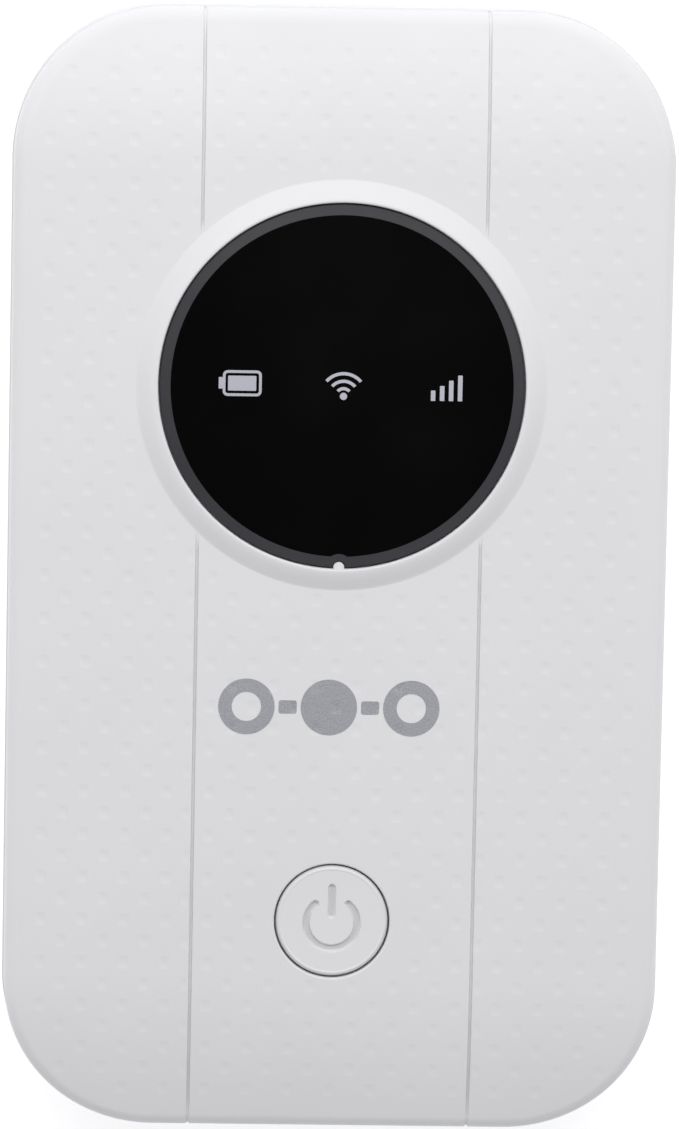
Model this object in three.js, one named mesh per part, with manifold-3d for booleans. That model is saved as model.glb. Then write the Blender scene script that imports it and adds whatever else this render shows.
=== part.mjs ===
// Pocket mobile hotspot: a palm-sized battery-powered router in a white moulded case.
//
// Frame: millimetres, +Z up. The hotspot lies on its back cover: Z = 0 is the outer face of the
// cover, +Z points out of the display, +Y runs towards the display end and the origin is the
// middle of the footprint.
//
// Layers from the back to the front: back cover, battery, rear housing with the battery bay,
// circuit board, light baffle, front shell with the round lens and the power button.

import * as THREE from "three";
import { mergeVertices } from "three/addons/utils/BufferGeometryUtils.js";
import { ConvexGeometry } from "three/addons/geometries/ConvexGeometry.js";
import Module from "manifold-3d";

const wasm = await Module();
wasm.setup();

// ---------------------------------------------------------------- driving dimensions

const BODY = { width: 58.6, length: 100.2, corner: 13.6 };
const END = BODY.length / 2;
const WALL = 1.4;
const BEYOND = 2; // how far a cutter reaches past what it cuts

// Heights of the layers.
const COVER_TOP = 3.2;
const REAR_BASE = 3.32;
const REAR_TOP = 7.6;
const FRONT_BASE = 7.72;
const FACE = 13.2;
const ROOF = 1.3; // thickness of the front shell behind its face

// The face is flat across, falls away in an arc towards both ends and has a small round edge.
const CROWN = { start: 36, drop: 2.2 };
const FRONT_INSET = { base: 0.12, top: 0.26 };
const FRONT_RIM = { run: 1.1, rise: 1.1 };
const BACK_RIM = { run: 3.5, rise: 3.0 };

const LENS = { y: 17.1, radius: 16.05, bottom: 12.85, top: 13.75, notch: 0.58, chamfer: 0.12 };
const BEZEL = { inner: 16.17, crest: 16.65, shoulder: 17.85, outer: 18.15, top: 14.02 };
const LEDGE = { radius: 14.3, top: 12.7 };
const BUTTON = { y: -30.7, radius: 4.97, hole: 5.14, flange: 5.9, top: 13.1 };
const GROOVE = { x: 12.5, width: 0.3, depth: 0.25 };
const SCREW = { x: 21.5, y: 42 };
const POST = { x: 23.4, y: 30 };

const BOARD = { back: 8.6, front: 9.6, halfWidth: 26.3, halfLength: 46.5, corner: 12 };
const SOLDER = 0.02; // gap under a part on the board
const BAY = { halfWidth: 25.8, bottom: -37.8, top: 17.8, floor: 6.5 };
const BATTERY = { halfWidth: 25.3, bottom: -37.3, top: 17.3, back: 1.45, front: 6.2, cap: 2.7 };
const USB = { halfWidth: 3.75, bottom: 5.95, top: 8.5, wall: 0.3, mouth: -49.8, rear: -44.6 };
const SIM = { y: -5.2, halfWidth: 6, length: 15, back: 7.45, front: 8.2, play: 0.15 };
const RESET = { x: 16, y: -30, hole: 0.8 };
const ICON_X = [-8.8, 0, 9.1];
const TERMINAL_X = [-3.4, 0, 3.4];
const CORNERS = [[1, 1], [-1, 1], [-1, -1], [1, -1]];

// ---------------------------------------------------------------- colours and finishes

function finish(color, roughness, metalness = 0) {
  return () => new THREE.MeshStandardMaterial({ color, roughness, metalness });
}

const FINISH = {
  shell: finish(0xe6e6e8, 0.45),
  lens: finish(0x08080a, 0.08),
  button: finish(0xeaeaec, 0.35),
  blackPlastic: finish(0x1a1a1c, 0.6),
  film: finish(0xb8b8bc, 0.5),
  led: finish(0xf2efe0, 0.3),
  board: finish(0x1f5a3c, 0.5),
  chip: finish(0x222224, 0.55),
  steel: finish(0xb9babd, 0.3, 1),
  gold: finish(0xd8b25a, 0.3, 1),
  pad: finish(0x8fa3b5, 0.8),
  cell: finish(0x33363a, 0.4),
  antenna: finish(0xb5742c, 0.4),
  label: finish(0xf4f4f0, 0.7),
  foam: finish(0x2a2a2c, 0.95),
};

// ---------------------------------------------------------------- solids from three.js geometry

// A closed three.js geometry as a manifold-3d solid.
function solid(geometry) {
  const bare = geometry.clone();
  bare.deleteAttribute("normal");
  bare.deleteAttribute("uv");
  const merged = mergeVertices(bare, 1e-4);
  return new wasm.Manifold(
    new wasm.Mesh({
      numProp: 3,
      vertProperties: new Float32Array(merged.attributes.position.array),
      triVerts: new Uint32Array(merged.index.array),
    }),
  );
}

function geometryOf(made) {
  const mesh = made.getMesh();
  const geometry = new THREE.BufferGeometry();
  geometry.setAttribute("position", new THREE.BufferAttribute(mesh.vertProperties, 3));
  geometry.setIndex(new THREE.BufferAttribute(mesh.triVerts, 1));
  geometry.computeVertexNormals();
  return geometry;
}

function block(x0, x1, y0, y1, z0, z1) {
  const box = new THREE.BoxGeometry(x1 - x0, y1 - y0, z1 - z0);
  return solid(box.translate((x0 + x1) / 2, (y0 + y1) / 2, (z0 + z1) / 2));
}

function cylinder(x, y, radius, z0, z1, segments = 16) {
  const shape = new THREE.CylinderGeometry(radius, radius, z1 - z0, segments);
  return solid(shape.rotateX(Math.PI / 2).translate(x, y, (z0 + z1) / 2));
}

// A round profile of [radius, z] points, turned about a vertical axis through (x, y).
function turned(x, y, profile, segments) {
  const points = profile.map(([r, z]) => new THREE.Vector2(r, z));
  return solid(new THREE.LatheGeometry(points, segments).rotateX(Math.PI / 2).translate(x, y, 0));
}

// Points round a rectangle with arc corners, centred on the origin.
function roundedOutline(halfWidth, halfLength, corner, arcSteps) {
  const points = [];
  CORNERS.forEach(([sx, sy], quarter) => {
    for (let i = 0; i <= arcSteps; i++) {
      const angle = ((quarter + i / arcSteps) * Math.PI) / 2;
      const x = sx * (halfWidth - corner) + corner * Math.cos(angle);
      points.push([x, sy * (halfLength - corner) + corner * Math.sin(angle)]);
    }
  });
  return points;
}

function bodyOutline(inset, arcSteps = 7) {
  return roundedOutline(BODY.width / 2 - inset, END - inset, BODY.corner - inset, arcSteps);
}

// An outline pulled up into a plate between two heights.
function plate(points, z0, z1) {
  const shape = new THREE.Shape(points.map(([x, y]) => new THREE.Vector2(x, y)));
  const made = new THREE.ExtrudeGeometry(shape, { depth: z1 - z0, bevelEnabled: false });
  return solid(made.translate(0, 0, z0));
}

// A [y, z] section pulled along X from x0 to x1.
function alongX(points, x0, x1) {
  const shape = new THREE.Shape(points.map(([y, z]) => new THREE.Vector2(y, z)));
  const made = new THREE.ExtrudeGeometry(shape, { depth: x1 - x0, bevelEnabled: false });
  return solid(made.rotateX(Math.PI / 2).rotateZ(Math.PI / 2).translate(x0, 0, 0));
}

// An [x, z] section pulled along Y from y0 to y1.
function alongY(points, y0, y1) {
  const shape = new THREE.Shape(points.map(([x, z]) => new THREE.Vector2(x, z)));
  const made = new THREE.ExtrudeGeometry(shape, { depth: y1 - y0, bevelEnabled: false });
  return solid(made.rotateX(Math.PI / 2).translate(0, y1, 0));
}

function hull(points) {
  return solid(new ConvexGeometry(points.map((p) => new THREE.Vector3(...p))));
}

// ---------------------------------------------------------------- the outer form

function crownDrop(y) {
  const past = Math.max(0, Math.abs(y) - CROWN.start) / (END - CROWN.start);
  return CROWN.drop * past * past;
}

// A quarter-ellipse edge as steps of how far in from the wall and how far below the face.
function rimSteps({ run, rise }, steps) {
  return Array.from({ length: steps + 1 }, (_, i) => {
    const angle = (i / steps) * (Math.PI / 2);
    return { inward: run * (1 - Math.cos(angle)), below: rise * (1 - Math.sin(angle)) };
  });
}

// The crowned front of the case, offset inwards by `shrink` and downwards by `lower`.
function crownedForm(shrink, lower, base, steps) {
  const points = bodyOutline(FRONT_INSET.base + shrink).map(([x, y]) => [x, y, base]);
  for (const { inward, below } of rimSteps(FRONT_RIM, steps)) {
    for (const [x, y] of bodyOutline(FRONT_INSET.top + shrink + inward)) {
      points.push([x, y, FACE - lower - crownDrop(y) - below]);
    }
  }
  return hull(points);
}

// The dished back of the case from the height `bottom` up to its edge at `top`.
function dishedForm(shrink, bottom, top, rim, steps) {
  const points = bodyOutline(shrink).map(([x, y]) => [x, y, top]);
  for (const { inward, below } of rimSteps(rim, steps)) {
    for (const [x, y] of bodyOutline(shrink + inward)) points.push([x, y, bottom + below]);
  }
  return hull(points);
}

// ---------------------------------------------------------------- front shell

// Everything above the floor of one hairline groove, which follows the crown over both ends.
function grooveCutter(x) {
  const wall = END - FRONT_INSET.top - GROOVE.depth;
  const rim = rimSteps(FRONT_RIM, 3).map(({ inward, below }) => {
    const y = wall - inward;
    return [y, FACE - GROOVE.depth - crownDrop(y) - below];
  });
  const crown = [47, 44, 41, 38, CROWN.start].map((y) => [y, FACE - GROOVE.depth - crownDrop(y)]);
  const low = FRONT_BASE - BEYOND;
  const right = [[END + BEYOND, low], [wall, low], ...rim, ...crown];
  const left = right.map(([y, z]) => [-y, z]).reverse();
  const high = FACE + BEYOND;
  const section = [[-END - BEYOND, high], [END + BEYOND, high], ...right, ...left];
  return alongX(section, x - GROOVE.width / 2, x + GROOVE.width / 2);
}

// The raised ring round the lens: steep inside, rounded at the crest, sloping out to a soft foot.
function bezelRing() {
  const { inner, crest, shoulder, outer, top } = BEZEL;
  const root = LEDGE.top - 0.3;
  return turned(0, LENS.y, [
    [inner, root],
    [outer, root],
    [outer, FACE - 0.02],
    [shoulder + 0.15, FACE + 0.08],
    [shoulder - 0.3, FACE + 0.36],
    [crest + 0.2, top - 0.06],
    [crest - 0.15, top],
    [inner + 0.22, top - 0.1],
    [inner, top - 0.3],
    [inner, root],
  ], 56);
}

// A screw boss that hangs from the roof of the front shell down to `foot`.
function hangingBoss(x, y, radius, pilot, foot, pilotTop) {
  const boss = cylinder(x, y, radius, foot, FACE - ROOF / 2);
  return { boss, hole: cylinder(x, y, pilot, foot - BEYOND, pilotTop, 12) };
}

function usbOpening() {
  const gap = 0.35;
  const half = USB.halfWidth + gap;
  return block(-half, half, -END - BEYOND, -45, USB.bottom - gap, USB.top + gap);
}

function frontShell() {
  let made = crownedForm(0, 0, FRONT_BASE, 4).subtract(crownedForm(WALL, ROOF, FRONT_BASE - 1, 2));
  const bosses = [
    ...CORNERS.map(([sx, sy]) => hangingBoss(sx * SCREW.x, sy * SCREW.y, 2.4, 0.82, 7.82, 10.8)),
    ...[1, -1].map((side) => hangingBoss(side * POST.x, POST.y, 1.8, 0.72, 9.7, 11.4)),
  ];
  for (const { boss } of bosses) made = made.add(boss.intersect(crownedForm(0.7, 0.7, 7, 2)));
  for (const { hole } of bosses) made = made.subtract(hole);
  for (const side of [1, -1]) made = made.subtract(grooveCutter(side * GROOVE.x));
  // A plain disc fills the grooves up to the foot of the bezel.
  made = made.add(cylinder(0, LENS.y, BEZEL.outer - 0.1, FACE - ROOF, FACE - 0.02, 56));
  made = made.add(bezelRing());
  made = made.subtract(cylinder(0, LENS.y, BEZEL.inner, LEDGE.top, FACE + BEYOND, 56));
  made = made.subtract(cylinder(0, LENS.y, LEDGE.radius, FACE - ROOF - 1, FACE, 40));
  // The peg that keys the lens by its notch.
  const peg = LENS.notch - 0.12;
  made = made.add(cylinder(0, LENS.y - LENS.radius, peg, LEDGE.top - 0.3, LENS.top - 0.1, 12));
  made = made.subtract(cylinder(0, BUTTON.y, BUTTON.hole, FACE - ROOF - 1, FACE + BEYOND, 40));
  return made.subtract(usbOpening());
}

// ---------------------------------------------------------------- rear housing and back cover

function rearHousing() {
  const lip = 2.6; // the lower part stands this far inside the cover
  const floor = 1.5;
  let made = plate(bodyOutline(0), REAR_BASE, REAR_TOP).add(
    plate(bodyOutline(lip), floor, REAR_TOP),
  );
  // Open towards the board beyond both ends of the battery bay.
  const bayWall = 1.3;
  const deep = plate(bodyOutline(lip + 1.2), floor + 1.1, REAR_TOP + 1);
  const wide = plate(bodyOutline(WALL), REAR_BASE + 1, REAR_TOP + 1);
  const displayEnd = block(-40, 40, BAY.top + bayWall, END, 0, 20);
  const socketEnd = block(-40, 40, -END, BAY.bottom - bayWall, 0, 20);
  made = made.subtract(deep.add(wide).intersect(displayEnd.add(socketEnd)));
  const middle = (BAY.top + BAY.bottom) / 2;
  const bay = roundedOutline(BAY.halfWidth, (BAY.top - BAY.bottom) / 2, 1.2, 2);
  made = made.subtract(plate(bay.map(([x, y]) => [x, y + middle]), 0, BAY.floor));
  const columns = CORNERS.map(([sx, sy]) => [sx * SCREW.x, sy * SCREW.y]);
  for (const [x, y] of columns) made = made.add(cylinder(x, y, 2.6, floor, REAR_TOP));
  for (const [x, y] of columns) {
    made = made.subtract(cylinder(x, y, 1.9, 0, 4.2)).subtract(cylinder(x, y, 1, 0, REAR_TOP + 1));
  }
  // Windows in the bay for the SIM card, the battery contacts and the reset pin.
  made = made.subtract(block(-8, 8, SIM.y - 20.5, SIM.y + 8.6, BAY.floor - 1, REAR_TOP + 1));
  made = made.subtract(block(-6.2, 6.2, BAY.top - 1, BAY.top + 2, 3.6, REAR_TOP + 1));
  made = made.subtract(cylinder(RESET.x, RESET.y, RESET.hole, BAY.floor - 1, REAR_TOP + 1));
  // Fingernail scallop in the edge that the cover closes against.
  made = made.subtract(block(-6, 6, END - 1.1, END + BEYOND, REAR_BASE - 1, REAR_BASE + 0.8));
  return made.subtract(usbOpening());
}

function backCover() {
  const skin = 1.1;
  let made = dishedForm(0, 0, COVER_TOP, BACK_RIM, 4);
  made = made.subtract(dishedForm(skin, skin, COVER_TOP + 1, { run: 2.6, rise: 2 }, 3));
  // Snap tongues inside both long sides and the display end.
  const [low, high] = [COVER_TOP - 1, COVER_TOP - 0.15];
  const [root, tip] = [skin - 0.2, skin + 0.85];
  for (const side of [1, -1]) {
    for (const y of [-26, 0, 26]) {
      const reach = [side * (BODY.width / 2 - root), side * (BODY.width / 2 - tip)];
      made = made.add(block(Math.min(...reach), Math.max(...reach), y - 2.5, y + 2.5, low, high));
    }
    const x = side * 11;
    made = made.add(block(x - 2.5, x + 2.5, END - tip, END - root, low, high));
  }
  return made;
}

// ---------------------------------------------------------------- display stack

function displayLens() {
  const { y, radius, bottom, top, notch, chamfer } = LENS;
  const disc = turned(0, y, [
    [0, bottom],
    [radius, bottom],
    [radius, top - chamfer],
    [radius - chamfer, top],
    [0, top],
  ], 56);
  return disc.subtract(cylinder(0, y - radius, notch, bottom - 1, top + 1));
}

function adhesiveRing() {
  const [inner, outer, low, high] = [14.5, 15.3, LEDGE.top + 0.01, LENS.bottom - 0.01];
  const section = [[inner, low], [outer, low], [outer, high], [inner, high], [inner, low]];
  return turned(0, LENS.y, section, 40);
}

// A black block round the three indicator lamps, with one window for each.
function lightBaffle() {
  let made = cylinder(0, LENS.y, 13.6, BOARD.front + 0.05, 12.4, 32);
  for (const x of ICON_X) {
    made = made.subtract(block(x - 2.6, x + 2.6, LENS.y - 1.9, LENS.y + 1.9, 9, 13));
  }
  return made;
}

// ---------------------------------------------------------------- power button and its switch

// A cup with a retaining flange and a middle stem. Its top is slightly dished inside a soft bevel.
function powerButton() {
  const { y, radius, flange, top } = BUTTON;
  return turned(0, y, [
    [0, 11.6],
    [1.1, 11.6],
    [1.1, 12.15],
    [4.1, 12.15],
    [4.1, 11.2],
    [flange, 11.2],
    [flange, 11.7],
    [radius, 11.7],
    [radius, top - 0.3],
    [radius - 0.35, top],
    [3.2, top - 0.08],
    [0, top - 0.12],
  ], 40);
}

function powerSwitchBody() {
  const half = 2.25;
  const low = BOARD.front + SOLDER;
  const base = block(-half, half, BUTTON.y - half, BUTTON.y + half, low, 11.1);
  return base.subtract(cylinder(0, BUTTON.y, 1, 10.3, 12, 12));
}

// ---------------------------------------------------------------- board and what it carries

function mainBoard() {
  const outline = roundedOutline(BOARD.halfWidth, BOARD.halfLength, BOARD.corner, 4);
  let made = plate(outline, BOARD.back, BOARD.front);
  for (const [sx, sy] of CORNERS) {
    made = made.subtract(cylinder(sx * SCREW.x, sy * SCREW.y, 2.75, 8, 10));
  }
  for (const side of [1, -1]) made = made.subtract(cylinder(side * POST.x, POST.y, 0.9, 8, 10, 12));
  return made;
}

// A pressed sheet-metal can, open towards the board.
function shieldCan(x0, x1, y0, y1, z0, z1, opensUp) {
  const sheet = 0.2;
  const low = opensUp ? z0 + sheet : z0 - 1;
  const high = opensUp ? z1 + 1 : z1 - sheet;
  const inside = block(x0 + sheet, x1 - sheet, y0 + sheet, y1 - sheet, low, high);
  return block(x0, x1, y0, y1, z0, z1).subtract(inside);
}

// A part soldered to the board: on its front for side 1, on its back for side -1.
function mounted(x, y, width, length, height, side = 1) {
  const z0 = side > 0 ? BOARD.front + SOLDER : BOARD.back - SOLDER - height;
  return block(x - width / 2, x + width / 2, y - length / 2, y + length / 2, z0, z0 + height);
}

// Section of a micro socket, drawn in by `inset`: both lower corners are canted.
function usbSection(inset) {
  const half = USB.halfWidth - inset;
  const [low, high] = [USB.bottom + inset, USB.top - inset];
  return [
    [-half, high],
    [-half, low + 1],
    [-half + 0.9, low],
    [half - 0.9, low],
    [half, low + 1],
    [half, high],
  ];
}

function usbShell() {
  const tube = alongY(usbSection(0), USB.mouth, USB.rear);
  return tube.subtract(alongY(usbSection(USB.wall), USB.mouth - 1, USB.rear + 1));
}

function usbTongue() {
  const plug = alongY(usbSection(USB.wall + 0.05), USB.rear - 1.2, USB.rear - 0.1);
  const blade = block(-1.9, 1.9, USB.mouth + 1, USB.rear - 1, USB.top - 1.25, USB.top - 0.65);
  return plug.add(blade);
}

// The holder's metal cage: a shallow tray open towards the board and at the end the card leaves by.
function simCage() {
  const [y0, y1] = [SIM.y - SIM.length / 2, SIM.y + SIM.length / 2 + 0.6];
  const slot = SIM.halfWidth + SIM.play;
  const tray = block(-slot - 1, slot + 1, y0, y1, SIM.back - 0.3, SIM.front);
  return tray.subtract(block(-slot, slot, y0 - 1, y1 - 0.4, SIM.back - 0.08, SIM.front + 1));
}

function simPlate(halfWidth, z0, z1) {
  return block(-halfWidth, halfWidth, SIM.y - SIM.length / 2, SIM.y + SIM.length / 2, z0, z1);
}

function resetSwitchBody() {
  const { x, y } = RESET;
  const body = block(x - 1.6, x + 1.6, y - 1.6, y + 1.6, 7.7, BOARD.back - SOLDER);
  return body.subtract(cylinder(x, y, 0.65, 7, 8.3, 12));
}

// ---------------------------------------------------------------- battery and its contacts

function batteryCell() {
  const top = BATTERY.top - BATTERY.cap - 0.05;
  const middle = (top + BATTERY.bottom) / 2;
  const outline = roundedOutline(BATTERY.halfWidth, (top - BATTERY.bottom) / 2, 1, 2);
  return plate(outline.map(([x, y]) => [x, y + middle]), BATTERY.back, BATTERY.front);
}

function batteryEndCap() {
  const { halfWidth, top, cap, back, front } = BATTERY;
  let made = block(-halfWidth, halfWidth, top - cap, top, back + 0.1, front - 0.1);
  for (const x of TERMINAL_X) {
    made = made.subtract(block(x - 1.1, x + 1.1, top - 0.4, top + 1, 3, 5.2));
  }
  return made;
}

function batteryTerminal(x) {
  return block(x - 1, x + 1, BATTERY.top - 0.35, BATTERY.top - 0.08, 3.1, 5.1);
}

// One leaf of the connector, with a blunt nose towards the battery.
function batterySpring(x) {
  const nose = BATTERY.top + 0.08;
  const leaf = [[0, 4.1], [0.2, 3.8], [0.6, 3.8], [0.8, 4.1], [1.2, 4.2], [1.2, 4.5], [0.2, 4.5]];
  return alongX(leaf.map(([y, z]) => [nose + y, z]), x - 0.6, x + 0.6);
}

function batteryConnector() {
  let made = block(-5.6, 5.6, 18.2, 22.4, 3.9, BOARD.back - SOLDER);
  for (const x of TERMINAL_X) made = made.subtract(block(x - 0.8, x + 0.8, 17, 18.9, 3, 5.2));
  return made;
}

// ---------------------------------------------------------------- fasteners

// A cross-head screw driven towards +Z.
function screw(x, y, { head, shank, low, seat, tip }) {
  const arm = head * 0.6;
  const slot = 0.18;
  const cross = block(x - arm, x + arm, y - slot, y + slot, low - 1, low + 0.35).add(
    block(x - slot, x + slot, y - arm, y + arm, low - 1, low + 0.35),
  );
  const made = cylinder(x, y, head, low, seat, 12).add(cylinder(x, y, shank, seat - 0.1, tip, 8));
  return made.subtract(cross);
}

const CASE_SCREW = { head: 1.6, shank: 0.7, low: 2.9, seat: 4.1, tip: 10.3 };
const BOARD_SCREW = { head: 1.4, shank: 0.62, low: 7.9, seat: 8.55, tip: 11.1 };

// ---------------------------------------------------------------- the assembly

const hotspot = new THREE.Group();

function part(name, made, material) {
  const mesh = new THREE.Mesh(geometryOf(made), material());
  mesh.name = name;
  hotspot.add(mesh);
}

part("front_shell", frontShell(), FINISH.shell);
part("rear_housing", rearHousing(), FINISH.shell);
part("back_cover", backCover(), FINISH.shell);
part("cover_foam_pad", block(-18, 18, -14, -6, 1.12, 1.4), FINISH.foam);

part("display_lens", displayLens(), FINISH.lens);
part("lens_adhesive_ring", adhesiveRing(), FINISH.blackPlastic);
part("icon_film", cylinder(0, LENS.y, 14, 12.46, 12.6, 32), FINISH.film);
part("light_baffle", lightBaffle(), FINISH.blackPlastic);
["battery", "wifi", "signal"].forEach((sign, i) => {
  part(`led_${sign}`, mounted(ICON_X[i], LENS.y, 1.6, 0.8, 0.6), FINISH.led);
});

part("power_button", powerButton(), FINISH.button);
part("power_switch_body", powerSwitchBody(), FINISH.steel);
part("power_switch_plunger", cylinder(0, BUTTON.y, 0.9, 10.75, 11.5, 12), FINISH.blackPlastic);

const boardFront = BOARD.front + SOLDER;
const boardBack = BOARD.back - SOLDER;
part("main_board", mainBoard(), FINISH.board);
part("modem_shield", shieldCan(-19, 19, -23.4, 1, boardFront, 11.2, false), FINISH.steel);
part("radio_shield", shieldCan(-17.5, 17.5, 23.6, 43.4, 6.7, boardBack, true), FINISH.steel);
part("thermal_pad", block(-12, 12, -20, -4, 11.25, 11.8), FINISH.pad);
part("baseband_chip", mounted(-8, -12, 12, 12, 1), FINISH.chip);
part("memory_chip", mounted(8, -12, 8, 10, 0.9), FINISH.chip);
part("transceiver_chip", mounted(-7, 33, 7, 7, 0.9, -1), FINISH.chip);
part("power_management_chip", mounted(6, 33, 6, 6, 0.8, -1), FINISH.chip);
part("crystal_can", mounted(-21.5, -28, 2.5, 3.2, 0.8), FINISH.steel);
part("charge_inductor", mounted(20, -35, 4, 4, 1.4), FINISH.chip);

part("usb_socket_shell", usbShell(), FINISH.steel);
part("usb_socket_tongue", usbTongue(), FINISH.blackPlastic);
part("sim_holder_cage", simCage(), FINISH.steel);
part("sim_holder_base", simPlate(6.8, SIM.front + 0.04, boardBack), FINISH.blackPlastic);
part("sim_card", simPlate(SIM.halfWidth, SIM.back, SIM.front), FINISH.label);
part("reset_switch_body", resetSwitchBody(), FINISH.steel);
part("reset_switch_plunger", cylinder(RESET.x, RESET.y, 0.5, 7.1, 8, 12), FINISH.blackPlastic);

part("battery_cell", batteryCell(), FINISH.cell);
part("battery_end_cap", batteryEndCap(), FINISH.blackPlastic);
part("battery_connector", batteryConnector(), FINISH.blackPlastic);
TERMINAL_X.forEach((x, i) => {
  part(`battery_terminal_${i + 1}`, batteryTerminal(x), FINISH.gold);
  part(`battery_spring_${i + 1}`, batterySpring(x), FINISH.gold);
});
part("bay_label", block(-24, -10.5, -34, -16, 6.32, 6.47), FINISH.label);

// Strip antennas above the board, each on its own spring clip.
part("antenna_main", block(-17, 17, -45.6, -38.6, 10, 10.25), FINISH.antenna);
part("antenna_diversity", block(-17, 17, 38.6, 45.6, 10, 10.25), FINISH.antenna);
part("antenna_wifi", block(24.2, 26.2, -22, 8, 10, 10.25), FINISH.antenna);
part("antenna_clip_main", mounted(-12, -42, 1.5, 2.4, 0.34), FINISH.gold);
part("antenna_clip_diversity", mounted(12, 42, 1.5, 2.4, 0.34), FINISH.gold);
part("antenna_clip_wifi", mounted(25.2, -18, 1.5, 2.4, 0.34), FINISH.gold);

CORNERS.forEach(([sx, sy], i) => {
  part(`case_screw_${i + 1}`, screw(sx * SCREW.x, sy * SCREW.y, CASE_SCREW), FINISH.steel);
});
[1, -1].forEach((side, i) => {
  part(`board_screw_${i + 1}`, screw(side * POST.x, POST.y, BOARD_SCREW), FINISH.steel);
});

export default hotspot;
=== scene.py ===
"""The look of the pocket mobile hotspot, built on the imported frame.

Lengths in this file are millimetres in the row frame, and become metres as each mesh is made.
The hotspot lies on its back cover, with the display up and the display end towards +Y.
"""

import math

import bpy
import numpy as np
from mathutils import Matrix, Vector
from mathutils.geometry import delaunay_2d_cdt

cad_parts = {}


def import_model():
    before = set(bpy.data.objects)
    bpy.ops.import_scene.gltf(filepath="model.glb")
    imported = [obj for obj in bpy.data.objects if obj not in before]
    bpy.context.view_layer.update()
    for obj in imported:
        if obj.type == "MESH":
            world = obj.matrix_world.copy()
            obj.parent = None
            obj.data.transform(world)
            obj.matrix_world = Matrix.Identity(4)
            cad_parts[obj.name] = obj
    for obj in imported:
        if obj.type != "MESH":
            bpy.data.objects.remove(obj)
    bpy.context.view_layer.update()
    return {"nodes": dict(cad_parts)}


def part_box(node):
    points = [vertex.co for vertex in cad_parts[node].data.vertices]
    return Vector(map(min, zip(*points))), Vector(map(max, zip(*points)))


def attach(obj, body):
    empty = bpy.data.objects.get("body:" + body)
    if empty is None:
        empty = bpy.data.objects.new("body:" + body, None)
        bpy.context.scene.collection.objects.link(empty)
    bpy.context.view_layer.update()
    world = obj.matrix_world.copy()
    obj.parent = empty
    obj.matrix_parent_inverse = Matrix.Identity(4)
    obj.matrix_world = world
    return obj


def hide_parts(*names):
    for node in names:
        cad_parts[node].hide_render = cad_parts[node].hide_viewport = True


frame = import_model()

MM = 0.001


def extents(node):
    """Lowest and highest corner of a CAD node, in millimetres."""
    low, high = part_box(node)
    return np.array(low) / MM, np.array(high) / MM


def axis_of(node):
    """Where the vertical axis of a round CAD node stands."""
    low, high = extents(node)
    return (low[:2] + high[:2]) / 2


# ---------------------------------------------------------------- sizes, from the frame

COVER_HIGH = extents("back_cover")[1]
REAR_LOW, REAR_HIGH = extents("rear_housing")
FRONT_LOW, FRONT_HIGH = extents("front_shell")
LENS_LOW, LENS_HIGH = extents("display_lens")
BUTTON_LOW, BUTTON_HIGH = extents("power_button")
USB_LOW, USB_HIGH = extents("usb_socket_shell")
CELL_LOW, CELL_HIGH = extents("battery_cell")

HALF_WIDTH = COVER_HIGH[0]
HALF_LENGTH = COVER_HIGH[1]
CORNER = 13.6
WALL = 1.4
COVER_TOP = COVER_HIGH[2]
REAR_BASE = 3.32
REAR_TOP = REAR_HIGH[2]
FRONT_BASE = FRONT_LOW[2]
RING_TOP = FRONT_HIGH[2]
FACE = 13.2
ROOF = 1.3
CROWN_START = 36.0
CROWN_DROP = 2.2
FRONT_INSET = {"base": 0.12, "top": 0.26}
FRONT_RIM = 1.1
BACK_RIM = {"run": 3.5, "rise": 3.0}

LENS_Y = (LENS_LOW[1] + LENS_HIGH[1]) / 2
LENS_RADIUS = LENS_HIGH[0]
LENS_TOP = LENS_HIGH[2]
LENS_SEAT = 12.7
RING_INNER = 16.17
RING_FOOT = 18.2
LEDGE = 14.3
BUTTON_Y = (BUTTON_LOW[1] + BUTTON_HIGH[1]) / 2
BUTTON_HOLE = 5.14
BUTTON_LIP = 5.3
BUTTON_RADIUS = 4.97
BUTTON_TOP = BUTTON_HIGH[2]

GROOVE = {"x": 12.5, "floor": 0.08, "half": 0.16, "depth": 0.3, "run_out": 0.25,
          "fade": 0.6, "fade_from": 46.5, "fade_over": 3}
GROOVE_STEPS = (-0.2, -0.16, -0.14, -0.12, -0.1, -0.08, 0, 0.08, 0.1, 0.12, 0.14, 0.16, 0.2)
GROOVE_LINES = [side * GROOVE["x"] + step for side in (1, -1) for step in GROOVE_STEPS]
DIMPLE = {"pitch_x": 3.7, "pitch_y": 3.85, "half_x": 0.6, "half_y": 0.67, "depth": 0.045,
          "squareness": 3.2}
DIMPLE_STEPS = (-1, -0.75, -0.45, 0, 0.45, 0.75, 1)
DIMPLE_CLEAR = 0.85

USB_GAP = 0.35
USB_HALF = USB_HIGH[0] + USB_GAP
USB_ROOF = USB_HIGH[2] + USB_GAP
USB_SILL = USB_LOW[2] - USB_GAP


# ---------------------------------------------------------------- shaders

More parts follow.
